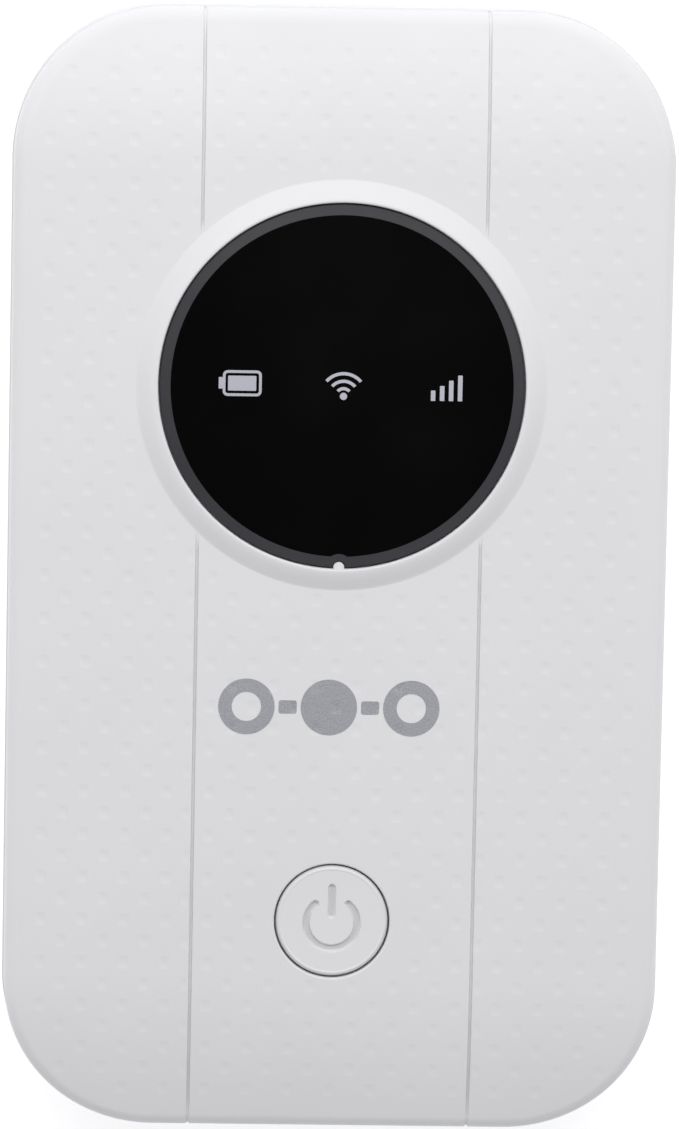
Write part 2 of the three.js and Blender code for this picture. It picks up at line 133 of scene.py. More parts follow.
class Shader:
    """A Principled material with short names for the nodes that give it grain."""

    def __init__(self, name, metallic=0.0, specular=0.5):
        self.material = bpy.data.materials.new(name)
        self.material.use_nodes = True
        tree = self.material.node_tree
        self.nodes = tree.nodes
        self.links = tree.links
        self.bsdf = tree.nodes["Principled BSDF"]
        self.bsdf.inputs["Metallic"].default_value = metallic
        self.bsdf.inputs["Specular IOR Level"].default_value = specular
        self.place = self.nodes.new("ShaderNodeTexCoord").outputs["Object"]

    def put(self, socket, target):
        self.links.new(socket, target)

    def stretched(self, scale):
        """The object coordinates, scaled along Y."""
        node = self.nodes.new("ShaderNodeVectorMath")
        node.operation = "MULTIPLY"
        self.put(self.place, node.inputs[0])
        node.inputs[1].default_value = (1, scale, 1)
        return node.outputs[0]

    def noise(self, per_mm, detail=2.0, place=None):
        node = self.nodes.new("ShaderNodeTexNoise")
        node.inputs["Scale"].default_value = per_mm / MM
        node.inputs["Detail"].default_value = detail
        self.put(place or self.place, node.inputs["Vector"])
        return node.outputs["Fac"]

    def cells(self, per_mm):
        """Distance to scattered points."""
        node = self.nodes.new("ShaderNodeTexVoronoi")
        node.inputs["Scale"].default_value = per_mm / MM
        self.put(self.place, node.inputs["Vector"])
        return node.outputs["Distance"]

    def span(self, value, low, high, start=0.3, end=0.7):
        node = self.nodes.new("ShaderNodeMapRange")
        node.inputs["From Min"].default_value = start
        node.inputs["From Max"].default_value = end
        node.inputs["To Min"].default_value = low
        node.inputs["To Max"].default_value = high
        self.put(value, node.inputs["Value"])
        return node.outputs["Result"]

    def mix(self, factor, first, second):
        """Blends two colours; either may be the output of another blend."""
        node = self.nodes.new("ShaderNodeMix")
        node.data_type = "RGBA"
        self.put(factor, node.inputs["Factor"])
        for value, target in ((first, node.inputs["A"]), (second, node.inputs["B"])):
            if isinstance(value, tuple):
                target.default_value = (*value, 1)
            else:
                self.put(value, target)
        return node.outputs["Result"]

    def color(self, socket):
        self.put(socket, self.bsdf.inputs["Base Color"])

    def roughness(self, socket):
        self.put(socket, self.bsdf.inputs["Roughness"])

    def bump(self, height, micrometres):
        node = self.nodes.new("ShaderNodeBump")
        node.inputs["Distance"].default_value = micrometres * 1e-6
        self.put(height, node.inputs["Height"])
        self.put(node.outputs["Normal"], self.bsdf.inputs["Normal"])

    def finish(self, share, dark, light, gloss, rough, relief, micrometres):
        """Colour, roughness and bump, each driven by a pattern."""
        self.color(self.mix(share, dark, light))
        self.roughness(self.span(gloss, *rough))
        self.bump(relief, micrometres)
        return self.material


def grained(name, dark, light, rough, grain=3.0, micrometres=3, specular=0.5):
    """A finish with soft blotches of colour, uneven gloss and a fine grain."""
    shader = Shader(name, specular=specular)
    blotch = shader.span(shader.noise(0.06, 3), 0, 1)
    gloss = shader.noise(0.5, 3)
    return shader.finish(blotch, dark, light, gloss, rough, shader.noise(grain, 3), micrometres)


def brushed(name, dark, light, rough):
    """Pressed metal with fine lines along Y."""
    shader = Shader(name, metallic=1.0)
    lines = shader.noise(6, 2, shader.stretched(0.04))
    return shader.finish(shader.span(lines, 0, 1), dark, light, shader.noise(0.8), rough, lines, 2)


def lens_black():
    """Glossy black plastic with a little handling haze and a few specks of dust."""
    shader = Shader("lens_black", specular=0.4)
    haze = shader.span(shader.noise(0.05, 3), 0, 1, 0.45, 0.75)
    deep = shader.mix(haze, (0.0016, 0.0016, 0.0017), (0.0034, 0.0030, 0.0030))
    near = shader.span(shader.cells(0.12), 1, 0, 0.011, 0.016)
    gloss = shader.noise(0.09, 4)
    return shader.finish(near, deep, (0.10, 0.10, 0.11), gloss, (0.05, 0.13), shader.noise(0.2), 1.5)


def printed_silver():
    """Silver ink with fine metal flakes."""
    shader = Shader("silver_print", metallic=0.35)
    flakes = shader.noise(9)
    return shader.finish(shader.span(flakes, 0, 1), (0.30, 0.305, 0.33), (0.47, 0.475, 0.50),
                         shader.noise(5), (0.38, 0.6), flakes, 4)


def laminate():
    """Green solder mask with the weave of the cloth showing faintly."""
    shader = Shader("board_laminate")
    weave = shader.noise(2.2, 1, shader.stretched(3))
    return shader.finish(shader.span(weave, 0, 1), (0.010, 0.062, 0.030), (0.016, 0.085, 0.042),
                         shader.noise(0.3, 3), (0.28, 0.42), weave, 8)


def paper():
    """Matt label stock with visible fibres."""
    shader = Shader("paper_label", specular=0.3)
    fibre = shader.noise(2.5, 4, shader.stretched(0.3))
    return shader.finish(shader.span(fibre, 0, 1), (0.62, 0.61, 0.58), (0.70, 0.69, 0.67),
                         shader.noise(1, 3), (0.6, 0.75), fibre, 6)


def foam():
    shader = Shader("black_foam", specular=0.2)
    pores = shader.cells(3)
    return shader.finish(shader.span(pores, 0, 1, 0.1, 0.6), (0.006, 0.006, 0.006), (0.03, 0.03, 0.032),
                         shader.noise(1), (0.85, 0.98), pores, 60)


LOOK = {
    "shell_plastic": grained("shell_plastic", (0.708, 0.706, 0.716), (0.724, 0.722, 0.732), (0.45, 0.52),
                             grain=4.0, micrometres=2.5, specular=0.35),
    "button_plastic": grained("button_plastic", (0.722, 0.720, 0.730), (0.738, 0.736, 0.746),
                              (0.40, 0.46), grain=5.0, micrometres=2, specular=0.4),
    "lens_black": lens_black(),
    # The clear edge of the lens over its black seat.
    "lens_edge": grained("lens_edge", (0.036, 0.036, 0.041), (0.046, 0.044, 0.049), (0.36, 0.40),
                         grain=1.5, micrometres=1, specular=0.3),
    # Button plastic painted a shade darker for the floor of the power sign: painted shade in the engraving.
    "painted_shade_plastic": grained("painted_shade_plastic", (0.575, 0.575, 0.583), (0.600, 0.600, 0.608), (0.60, 0.70),
                            specular=0.25),
    "silver_print": printed_silver(),
    "diffuser_film": grained("indicator_film", (0.42, 0.42, 0.475), (0.46, 0.46, 0.515), (0.5, 0.6),
                             grain=5.0, micrometres=1),
    "black_plastic": grained("black_plastic", (0.010, 0.010, 0.011), (0.018, 0.018, 0.019), (0.42, 0.56)),
    "lamp_resin": grained("lamp_resin", (0.62, 0.58, 0.42), (0.72, 0.69, 0.52), (0.2, 0.35)),
    "board_laminate": laminate(),
    "chip_resin": grained("chip_resin", (0.014, 0.014, 0.016), (0.024, 0.024, 0.026), (0.5, 0.65),
                          grain=6.0, micrometres=6),
    "plated_steel": brushed("plated_steel", (0.50, 0.50, 0.51), (0.64, 0.64, 0.65), (0.24, 0.36)),
    "gold_contact": brushed("gold_contact", (0.68, 0.47, 0.17), (0.80, 0.58, 0.25), (0.2, 0.32)),
    "gap_pad": grained("gap_pad", (0.26, 0.34, 0.42), (0.32, 0.40, 0.48), (0.7, 0.85), micrometres=10),
    "battery_wrap": grained("battery_wrap", (0.020, 0.021, 0.024), (0.030, 0.031, 0.035), (0.3, 0.42),
                            grain=1.2, micrometres=6),
    "antenna_film": grained("antenna_film", (0.40, 0.17, 0.03), (0.50, 0.24, 0.06), (0.3, 0.45)),
    "paper_label": paper(),
    "black_foam": foam(),
}


# ---------------------------------------------------------------- outlines and lofts

def outline(half_width, half_length, corner, steps=28, centre=(0, 0)):
    """Points anticlockwise round a rectangle with arc corners."""
    points = []
    for quarter, (sx, sy) in enumerate(((1, 1), (-1, 1), (-1, -1), (1, -1))):
        for i in range(steps + 1):
            angle = (quarter + i / steps) * math.pi / 2
            x = sx * (half_width - corner) + corner * math.cos(angle)
            y = sy * (half_length - corner) + corner * math.sin(angle)
            points.append((x + centre[0], y + centre[1]))
    return points


def body_outline(inset, steps=28):
    return outline(HALF_WIDTH - inset, HALF_LENGTH - inset, CORNER - inset, steps)


def circle(x, y, radius, steps=48):
    turns = [2 * math.pi * i / steps for i in range(steps)]
    return [(x + radius * math.cos(t), y + radius * math.sin(t)) for t in turns]


def at(points, z):
    return [(x, y, z) for x, y in points]


def add_loop(points, edges, loop):
    """Adds a closed loop to points and edges, and gives the index where it starts."""
    start = len(points)
    edges += [(start + i, start + (i + 1) % len(loop)) for i in range(len(loop))]
    points += loop
    return start


def loft(rings, closed=False):
    """Skins rings of equal length in turn. The ends are capped, or meet if closed."""
    count = len(rings[0])
    faces = []
    spans = [(i, i + 1) for i in range(len(rings) - 1)]
    if closed:
        spans.append((len(rings) - 1, 0))
    for a, b in spans:
        for i in range(count):
            j = (i + 1) % count
            faces.append((a * count + i, a * count + j, b * count + j, b * count + i))
    if not closed:
        last = (len(rings) - 1) * count
        faces.append(tuple(range(count - 1, -1, -1)))
        faces.append(tuple(range(last, last + count)))
    return [p for ring in rings for p in ring], faces


def joined(*parts):
    """Several (points, faces) as one."""
    points, faces = [], []
    for some_points, some_faces in parts:
        start = len(points)
        points += some_points
        faces += [tuple(start + i for i in face) for face in some_faces]
    return points, faces


def slab(shape, z0, z1, edge):
    """A plate between two heights. shape(inset) gives its outline; its edges are rounded."""
    turns = [i * math.pi / 8 for i in range(5)]
    rings = [at(shape(edge * 1.3), z0)]
    rings += [at(shape(edge * (1 - math.sin(t))), z0 + edge * (1 - math.cos(t))) for t in turns]
    rings += [at(shape(edge * (1 - math.cos(t))), z1 - edge * (1 - math.sin(t))) for t in turns]
    return loft(rings + [at(shape(edge * 1.3), z1)])


def tube(outer, inner, z0, z1):
    """A plate with a hole. Both outlines have the same number of points."""
    return loft([at(outer, z0), at(outer, z1), at(inner, z1), at(inner, z0)], closed=True)


def block(x0, x1, y0, y1, z0, z1):
    return loft([at([(x0, y0), (x1, y0), (x1, y1), (x0, y1)], z) for z in (z0, z1)])


def turned(x, y, profile, steps=48):
    """A profile of (radius, z), from the bottom up, turned about a vertical axis."""
    return loft([at(circle(x, y, radius, steps), z) for radius, z in profile])


# ---------------------------------------------------------------- pieces

def mesh_of(name, made):
    points, faces = made
    mesh = bpy.data.meshes.new(name)
    mesh.from_pydata([tuple(float(c) * MM for c in p) for p in points], [], faces)
    return mesh


def shade(mesh, sharp):
    for polygon in mesh.polygons:
        polygon.use_smooth = True
    mesh.set_sharp_from_angle(angle=math.radians(sharp))


def piece(name, made, look, body="case", stands_for=(), sharp=35):
    mesh = mesh_of(name, made)
    mesh.materials.append(LOOK[look])
    shade(mesh, sharp)
    made_object = bpy.data.objects.new(name, mesh)
    bpy.context.scene.collection.objects.link(made_object)
    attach(made_object, body)
    if stands_for:
        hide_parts(*stands_for)
    return made_object


def combine(target, made, operation, sharp=35):
    """Joins a (points, faces) solid to a piece or cuts it away."""
    mesh = mesh_of("tool", made)
    tool = bpy.data.objects.new("tool", mesh)
    bpy.context.scene.collection.objects.link(tool)
    modifier = target.modifiers.new("combine", "BOOLEAN")
    modifier.operation = operation
    modifier.solver = "EXACT"
    modifier.object = tool
    graph = bpy.context.evaluated_depsgraph_get()
    result = bpy.data.meshes.new_from_object(target.evaluated_get(graph))
    target.modifiers.remove(modifier)
    old = target.data
    result.name = old.name
    target.data = result
    bpy.data.meshes.remove(old)
    bpy.data.objects.remove(tool)
    bpy.data.meshes.remove(mesh)
    shade(result, sharp)


def ease(target, width, segments=2):
    """Rounds the hard edges of a piece or a CAD node."""
    modifier = target.modifiers.new("edges", "BEVEL")
    modifier.width = width * MM
    modifier.segments = segments
    modifier.limit_method = "ANGLE"
    modifier.angle_limit = math.radians(40)
    modifier.harden_normals = True


# ---------------------------------------------------------------- the face as a height field

def crown(y):
    past = np.maximum(0, np.abs(y) - CROWN_START) / (HALF_LENGTH - CROWN_START)
    return CROWN_DROP * past ** 2


def crown_slope(y):
    reach = HALF_LENGTH - CROWN_START
    past = np.maximum(0, np.abs(y) - CROWN_START) / reach
    return 2 * CROWN_DROP * past * np.sign(y) / reach


def smooth(value):
    value = np.clip(value, 0, 1)
    return value * value * (3 - 2 * value)


def groove(x, y):
    """Depth of the two hairline grooves, which stop at the foot of the ring."""
    off = np.abs(np.abs(x) - GROOVE["x"])
    wall = smooth((GROOVE["half"] - off) / (GROOVE["half"] - GROOVE["floor"]))
    clear = smooth((np.hypot(x, y - LENS_Y) - RING_FOOT) / GROOVE["run_out"])
    fade = 1 - GROOVE["fade"] * smooth((np.abs(y) - GROOVE["fade_from"]) / GROOVE["fade_over"])
    return GROOVE["depth"] * wall * clear * fade


def inside_edge(x, y):
    """How far a point lies inside the outline of the body."""
    dx = np.abs(x) - (HALF_WIDTH - CORNER)
    dy = np.abs(y) - (HALF_LENGTH - CORNER)
    outside = np.hypot(np.maximum(dx, 0), np.maximum(dy, 0)) + np.minimum(np.maximum(dx, dy), 0)
    return CORNER - outside


FACE_INSET = FRONT_INSET["top"] + FRONT_RIM


def dimple_kept(x, y):
    clear = inside_edge(x, y) > FACE_INSET + DIMPLE_CLEAR - 0.1
    clear &= np.hypot(x, y - LENS_Y) > RING_FOOT + DIMPLE_CLEAR
    return clear & (np.hypot(x, y - BUTTON_Y) > BUTTON_LIP + DIMPLE_CLEAR)


def dimples(x, y):
    """Depth of the lattice of shallow square dimples: two sets, each between the other's rows."""
    depth = np.zeros_like(x)
    for half in (0.0, 0.5):
        column = np.round(x / DIMPLE["pitch_x"] - half) + half
        row = np.round(y / DIMPLE["pitch_y"] - half) + half
        cx, cy = column * DIMPLE["pitch_x"], row * DIMPLE["pitch_y"]
        u = np.abs(x - cx) / DIMPLE["half_x"]
        v = np.abs(y - cy) / DIMPLE["half_y"]
        power = DIMPLE["squareness"]
        reach = (u ** power + v ** power) ** (1 / power)
        bowl = np.where(reach < 1, (1 - np.minimum(reach, 1) ** 2) ** 1.5, 0)
        depth = np.maximum(depth, DIMPLE["depth"] * bowl * dimple_kept(cx, cy))
    return depth


def face_height(x, y):
    return FACE - crown(y) - groove(x, y) - dimples(x, y)


STEP = 0.004


def normals_of(height, x, y):
    """Unit normals of a height field."""
    dx = (height(x + STEP, y) - height(x - STEP, y)) / (2 * STEP)
    dy = (height(x, y + STEP) - height(x, y - STEP)) / (2 * STEP)
    length = np.sqrt(dx * dx + dy * dy + 1)
    return np.stack([-dx / length, -dy / length, 1 / length], axis=1)


def dimple_points():
    """Sample points over every dimple."""
    columns = math.ceil(HALF_WIDTH / DIMPLE["pitch_x"]) + 1
    rows = math.ceil(HALF_LENGTH / DIMPLE["pitch_y"]) + 1
    found = []
    for half in (0.0, 0.5):
        for i in range(-columns, columns):
            for j in range(-rows, rows):
                cx, cy = (i + half) * DIMPLE["pitch_x"], (j + half) * DIMPLE["pitch_y"]
                if dimple_kept(np.array(cx), np.array(cy)):
                    found.append((cx, cy))
    spots = []
    for cx, cy in found:
        for u in DIMPLE_STEPS:
            for v in DIMPLE_STEPS:
                if abs(u) + abs(v) < 1.8:
                    spots.append((cx + u * DIMPLE["half_x"], cy + v * DIMPLE["half_y"]))
    return spots


def triangulated(points, edges):
    """Delaunay triangles through points and edges, with each new point's source."""
    given = [Vector(p) for p in points]
    spots, _, faces, sources, _, _ = delaunay_2d_cdt(given, edges, [], 0, 1e-5, True)
    return np.array([(p.x, p.y) for p in spots]), faces, sources


def outside_holes(flat, triangles, holes):
    """Which triangles lie outside the round holes: those with a corner beyond the rim of each hole."""
    corners = flat[np.array(triangles)]
    keep = np.ones(len(corners), dtype=bool)
    for y, radius in holes:
        distance = np.hypot(corners[:, :, 0], corners[:, :, 1] - y)
        keep &= np.any(distance > radius + 1e-4, axis=1)
    return keep


# ---------------------------------------------------------------- surfaces with their own normals

class Skin:
    """A closed mesh whose visible faces carry exact normals and whose hidden faces are flat."""

    def __init__(self):
        self.points = []
        self.normals = []
        self.faces = []
        self.exact = []

    def add(self, points, normals=None):
        start = len(self.points)
        self.points += [tuple(p) for p in points]
        blank = [(0, 0, 0)] * len(points)
        self.normals += blank if normals is None else [tuple(n) for n in normals]
        return list(range(start, len(self.points)))

    def face(self, corners, exact=True):
        self.faces.append(tuple(corners))
        self.exact.append(exact)

    def band(self, first, second, exact=True):
        """Quads between two closed rings of indices."""
        for i in range(len(first)):
            j = (i + 1) % len(first)
            self.face((first[i], first[j], second[j], second[i]), exact)

    def append(self, made):
        """Adds a separate (points, faces) solid, flat shaded."""
        points, faces = made
        start = self.add(points)[0]
        for corners in faces:
            self.face([start + i for i in corners], False)

    def piece(self, name, look, body="case", stands_for=(), slot=None):
        made = piece(name, (self.points, self.faces), look, body, stands_for, sharp=180)
        mesh = made.data
        mesh.update()
        loops = []
        for polygon, exact in zip(mesh.polygons, self.exact):
            for index in polygon.vertices:
                normal = Vector(self.normals[index]) if exact else Vector((0, 0, 0))
                loops.append(normal if normal.length > 0.5 else polygon.normal.copy())
        mesh.normals_split_custom_set(loops)
        return made


def circle_angles(radius, x_lines, steps):
    """Angles round a circle, evenly spaced but with points on the given vertical lines."""
    exact = []
    for x in x_lines:
        angle = math.acos(x / radius)
        exact += [angle, 2 * math.pi - angle]
    even = [2 * math.pi * i / steps for i in range(steps)]
    gap = 2 * math.pi / steps * 0.45
    even = [a for a in even if all(abs(a - b) > gap for b in exact)]
    return sorted(exact + even)


def turned_band(skin, y, angles, profile, ring, exact=True, outwards=False):
    """Carries a ring along a turned profile, from the outside in, or outwards and down."""
    cosines, sines = np.cos(angles), np.sin(angles)
    way = -1 if outwards else 1
    for i, (radius, z) in enumerate(profile):
        before = profile[max(i - 1, 0)]
        after = profile[min(i + 1, len(profile) - 1)]
        dr, dz = after[0] - before[0], after[1] - before[1]
        length = math.hypot(dr, dz)
        nr, nz = way * dz / length, -way * dr / length
        points = np.stack([radius * cosines, y + radius * sines, np.full(len(angles), z)], axis=1)
        normals = np.stack([nr * cosines, nr * sines, np.full(len(angles), nz)], axis=1)
        new = skin.add(points, normals)
        skin.band(*((new, ring) if outwards else (ring, new)), exact)
        ring = new
    return ring


# ---------------------------------------------------------------- front shell

LADDER = 1.2
PEG = 0.5
SCREWS = [f"case_screw_{i}" for i in (1, 2, 3, 4)] + [f"board_screw_{i}" for i in (1, 2)]
# Radius, pilot radius, foot and head of the screw bosses.
BOSS = {"case": (2.3, 0.82, 7.82, 10.9), "board": (1.75, 0.72, 9.7, 12.0)}


def rim_stations():
    """(base x, base y, direction x, direction y) round the body; a point is base + direction * radius."""
    span_x, span_y = HALF_WIDTH - CORNER, HALF_LENGTH - CORNER
    across = [x for x in np.linspace(-span_x, span_x, 15)[1:-1]
              if min(abs(x - line) for line in GROOVE_LINES) > 0.3]
    mouth = [side * x for side in (1, -1) for x in (USB_HALF, USB_HALF - 0.02)]
    across = sorted(across + GROOVE_LINES + mouth)
    along = list(np.linspace(-span_y, span_y, 23)[1:-1])
    stations = [(span_x, y, 1.0, 0.0) for y in along]
    arc = [math.pi / 2 * i / 28 for i in range(29)]
    stations += [(span_x, span_y, math.cos(a), math.sin(a)) for a in arc]
    stations += [(x, span_y, 0.0, 1.0) for x in across[::-1]]
    stations += [(-span_x, span_y, -math.sin(a), math.cos(a)) for a in arc]
    stations += [(-span_x, y, -1.0, 0.0) for y in along[::-1]]
    stations += [(-span_x, -span_y, -math.cos(a), -math.sin(a)) for a in arc]
    stations += [(x, -span_y, 0.0, -1.0) for x in across]
    stations += [(span_x, -span_y, math.sin(a), -math.cos(a)) for a in arc]
    return np.array(stations)


def stations_at(stations, inset):
    return stations[:, :2] + stations[:, 2:] * (CORNER - inset)


def wall_groove(stations, positions):
    """Groove depth on the two end walls, and its slope across."""
    on_end = np.abs(stations[:, 3]) > 0.999
    x, y = positions[:, 0], np.full(len(positions), HALF_LENGTH)
    depth = groove(x, y)
    slope = (groove(x + STEP, y) - groove(x - STEP, y)) / (2 * STEP)
    return depth * on_end, slope * on_end


def front_rim(skin, stations):
    """The drafted wall and the rounded edge of the front shell, from the bottom up."""
    count = len(stations)
    direction = stations[:, 2:]
    mouth = (stations[:, 3] < -0.999) & (np.abs(stations[:, 0]) < USB_HALF - 0.01)
    base = np.where(mouth, USB_ROOF, FRONT_BASE)
    chamfer = 0.1
    flat_normal = np.column_stack([direction, np.zeros(count)])
    rings = []

    def ring(inset, z, normal):
        positions = stations_at(stations, inset)
        depth, slope = wall_groove(stations, positions)
        points = np.column_stack([positions, z]) - normal * depth[:, None]
        bent = normal + np.column_stack([slope, np.zeros((count, 2))])
        bent /= np.linalg.norm(bent, axis=1)[:, None]
        rings.append(skin.add(points, bent))

    ring(FRONT_INSET["base"] + chamfer, base, flat_normal)
    ring(FRONT_INSET["base"], base + chamfer, flat_normal)
    for i in range(9):
        angle = i / 8 * math.pi / 2
        inset = FRONT_INSET["top"] + FRONT_RIM * (1 - math.cos(angle))
        positions = stations_at(stations, inset)
        y = positions[:, 1]
        z = FACE - crown(y) - FRONT_RIM * (1 - math.sin(angle))
        slope = crown_slope(y)
        along = np.column_stack([-direction[:, 1], direction[:, 0], -slope * direction[:, 0]])
        run = FRONT_RIM * math.sin(angle)
        climb = FRONT_RIM * math.cos(angle) + slope * direction[:, 1] * run
        up = np.column_stack([-direction * run, climb])
        normal = np.cross(along, up)
        normal /= np.linalg.norm(normal, axis=1)[:, None]
        ring(inset, z, normal)
    skin.band(rings[0], rings[1], False)
    for lower, upper in zip(rings[1:], rings[2:]):
        skin.band(lower, upper)
    return rings[0], rings[-1], base


def ring_profile():
    """The raised ring from its foot inwards: a crisp foot, an even slope, a rounded crest, a small
    inner edge and the wall round the lens."""
    rise = RING_TOP - FACE
    shape = [(RING_FOOT, 0), (18.13, 0.008), (18.07, 0.03), (18.0, 0.068), (17.85, 0.168), (17.65, 0.305),
             (17.45, 0.442), (17.25, 0.575), (17.08, 0.68), (16.92, 0.77), (16.78, 0.845), (16.64, 0.91),
             (16.52, 0.958), (16.42, 0.988), (16.34, 1.0), (16.27, 0.982), (16.21, 0.93), (RING_INNER, 0.8)]
    return [(radius, FACE + rise * share) for radius, share in shape]


def front_shell():
    skin = Skin()
    stations = rim_stations()
    bottom, top, base = front_rim(skin, stations)

    # The face between the rounded edge, the ring and the button hole.
    lens_angles = circle_angles(RING_FOOT, GROOVE_LINES, 144)
    button_angles = [2 * math.pi * i / 96 for i in range(96)]
    loops = [
        [tuple(p) for p in stations_at(stations, FACE_INSET)],
        [(RING_FOOT * math.cos(a), LENS_Y + RING_FOOT * math.sin(a)) for a in lens_angles],
        [(BUTTON_LIP * math.cos(a), BUTTON_Y + BUTTON_LIP * math.sin(a)) for a in button_angles],
    ]
    points, edges = [], []
    starts = [add_loop(points, edges, loop) for loop in loops]
    fixed = len(points)
    reach = HALF_LENGTH - FACE_INSET
    for x in GROOVE_LINES:
        foot = math.sqrt(RING_FOOT ** 2 - x ** 2)
        for low, high in ((-reach, LENS_Y - foot), (LENS_Y + foot, reach)):
            steps = max(2, round((high - low) / LADDER))
            ladder = [low + (high - low) * i / steps for i in range(steps + 1)]
            start = len(points)
            points += [(x, y) for y in ladder]
            edges += [(start + i, start + i + 1) for i in range(steps)]
    spots = np.array(dimple_points())
    lines = np.array([GROOVE["x"] + step for step in GROOVE_STEPS])
    to_line = np.min(np.abs(np.abs(spots[:, :1]) - lines), axis=1)
    clear = (to_line > 0.03) & (inside_edge(spots[:, 0], spots[:, 1]) > FACE_INSET + 0.08)
    points += [tuple(p) for p in spots[clear]]
    flat, triangles, sources = triangulated(points, edges)

    heights = face_height(flat[:, 0], flat[:, 1])
    slopes = normals_of(face_height, flat[:, 0], flat[:, 1])
    index = []
    made = {}
    for i, origin in enumerate(sources):
        owner = min(origin) if len(origin) else fixed
        if owner < starts[1]:
            index.append(top[owner])
        else:
            index.append(skin.add([(*flat[i], heights[i])], [slopes[i]])[0])
            if owner < fixed:
                made[owner] = index[-1]
    keep = outside_holes(flat, triangles, ((LENS_Y, RING_FOOT), (BUTTON_Y, BUTTON_LIP)))
    for triangle, kept in zip(triangles, keep):
        if kept:
            skin.face([index[i] for i in triangle])

    # The ring and its inner wall, then the seat of the lens.
    foot = [made[starts[1] + i] for i in range(len(lens_angles))]
    crest = turned_band(skin, LENS_Y, lens_angles, ring_profile()[1:], foot)
    seat = [(RING_INNER, LENS_SEAT), (LEDGE, LENS_SEAT), (LEDGE, FACE - ROOF)]
    lens_hole = turned_band(skin, LENS_Y, lens_angles, seat, crest, exact=False)
    lip = [made[starts[2] + i] for i in range(len(button_angles))]
    turns = [i / 5 * math.pi / 2 for i in range(1, 6)]
    soft = BUTTON_LIP - BUTTON_HOLE
    edge = [(BUTTON_LIP - soft * math.sin(t), FACE - soft * (1 - math.cos(t))) for t in turns]
    rounded = turned_band(skin, BUTTON_Y, button_angles, edge, lip)
    button_hole = skin.add([(BUTTON_HOLE * math.cos(a), BUTTON_Y + BUTTON_HOLE * math.sin(a), FACE - ROOF)
                            for a in button_angles])
    skin.band(rounded, button_hole, False)

    # The inside: wall and roof.
    inner = stations_at(stations, FRONT_INSET["base"] + WALL)
    foot_ring = skin.add(np.column_stack([inner, base]))
    upper = stations_at(stations, FRONT_INSET["top"] + WALL)
    roof_height = FACE - ROOF - crown(upper[:, 1])
    roof_ring = skin.add(np.column_stack([upper, roof_height]))
    skin.band(foot_ring, bottom, False)
    skin.band(roof_ring, foot_ring, False)
    roof_loops = [
        [tuple(p) for p in upper],
        [(LEDGE * math.cos(a), LENS_Y + LEDGE * math.sin(a)) for a in lens_angles],
        [(BUTTON_HOLE * math.cos(a), BUTTON_Y + BUTTON_HOLE * math.sin(a)) for a in button_angles],
    ]
    rings = [roof_ring, lens_hole, button_hole]
    points, edges, owners = [], [], []
    for loop, ring in zip(roof_loops, rings):
        add_loop(points, edges, loop)
        owners += ring
    fixed = len(points)
    for y in np.linspace(CROWN_START, HALF_LENGTH - 3, 6):
        points += [(x, side * y) for side in (1, -1) for x in np.linspace(-14, 14, 8)]
    flat, triangles, sources = triangulated(points, edges)
    index = []
    for i, origin in enumerate(sources):
        owner = min(origin) if len(origin) else fixed
        if owner < fixed:
            index.append(owners[owner])
        else:
            index.append(skin.add([(*flat[i], FACE - ROOF - float(crown(flat[i][1])))])[0])
    keep = outside_holes(flat, triangles, ((LENS_Y, LEDGE), (BUTTON_Y, BUTTON_HOLE)))
    for triangle, kept in zip(triangles, keep):
        if kept:
            skin.face([index[i] for i in triangle][::-1], False)

    # Screw bosses under the roof and the peg that keys the lens.
    for node in SCREWS:
        x, y = axis_of(node)
        radius, pilot, low, high = BOSS[node.split("_")[0]]
        skin.append(tube(circle(x, y, radius, 32), circle(x, y, pilot, 32), low, high))
    shape = [(PEG, LENS_SEAT - 0.2), (PEG, LENS_TOP - 0.2), (PEG - 0.04, LENS_TOP - 0.12),
             (PEG - 0.14, LENS_TOP - 0.08)]
    skin.append(turned(0, LENS_Y - LENS_RADIUS, shape, 32))
    skin.piece("front_shell_look", "shell_plastic", stands_for=["front_shell"])


# ---------------------------------------------------------------- flat inlays

def inside_loops(x, y, loops):
    """Even-odd test of points against closed outlines."""
    inside = np.zeros(len(x), dtype=bool)
    for loop in loops:
        ring = np.array(loop)
        following = np.roll(ring, -1, axis=0)
        for (x0, y0), (x1, y1) in zip(ring, following):
            if y0 == y1:
                continue
            crosses = (y0 > y) != (y1 > y)
            inside ^= crosses & (x < x0 + (y - y0) * (x1 - x0) / (y1 - y0))
    return inside


def inlay(name, shapes, height, proud, look, spacing=0.0, slot=None, body="case", sunk=0.015):
    """A thin closed layer on a surface. Each shape is an outline, and perhaps holes in it."""
    skin = Skin()
    for loops in shapes:
        points, edges = [], []
        for loop in loops:
            add_loop(points, edges, [tuple(float(c) for c in p) for p in loop])
        if spacing:
            low, high = np.min(points, axis=0), np.max(points, axis=0)
            across = np.arange(low[0], high[0], spacing)
            along = np.arange(low[1], high[1], spacing)
            x, y = (grid.ravel() for grid in np.meshgrid(across, along))
            keep = inside_loops(x, y, loops)
            points += list(zip(x[keep].tolist(), y[keep].tolist()))
        flat, triangles, _ = triangulated(points, edges)
        x, y = flat[:, 0], flat[:, 1]
        level = height(x, y)
        top = skin.add(np.column_stack([x, y, level + proud]), normals_of(height, x, y))
        under = skin.add(np.column_stack([x, y, level - sunk]))
        middles = flat[np.array(triangles)].mean(axis=1)
        keep = inside_loops(middles[:, 0], middles[:, 1], loops)
        sides = {}
        for triangle, kept in zip(triangles, keep):
            if not kept:
                continue
            skin.face([top[i] for i in triangle])
            skin.face([under[i] for i in triangle][::-1], False)
            for a, b in zip(triangle, triangle[1:] + triangle[:1]):
                if (b, a) in sides:
                    del sides[(b, a)]
                else:
                    sides[(a, b)] = True
        for a, b in sides:
            skin.face((under[a], under[b], top[b], top[a]), False)
    skin.piece(name, look, body, slot=slot)


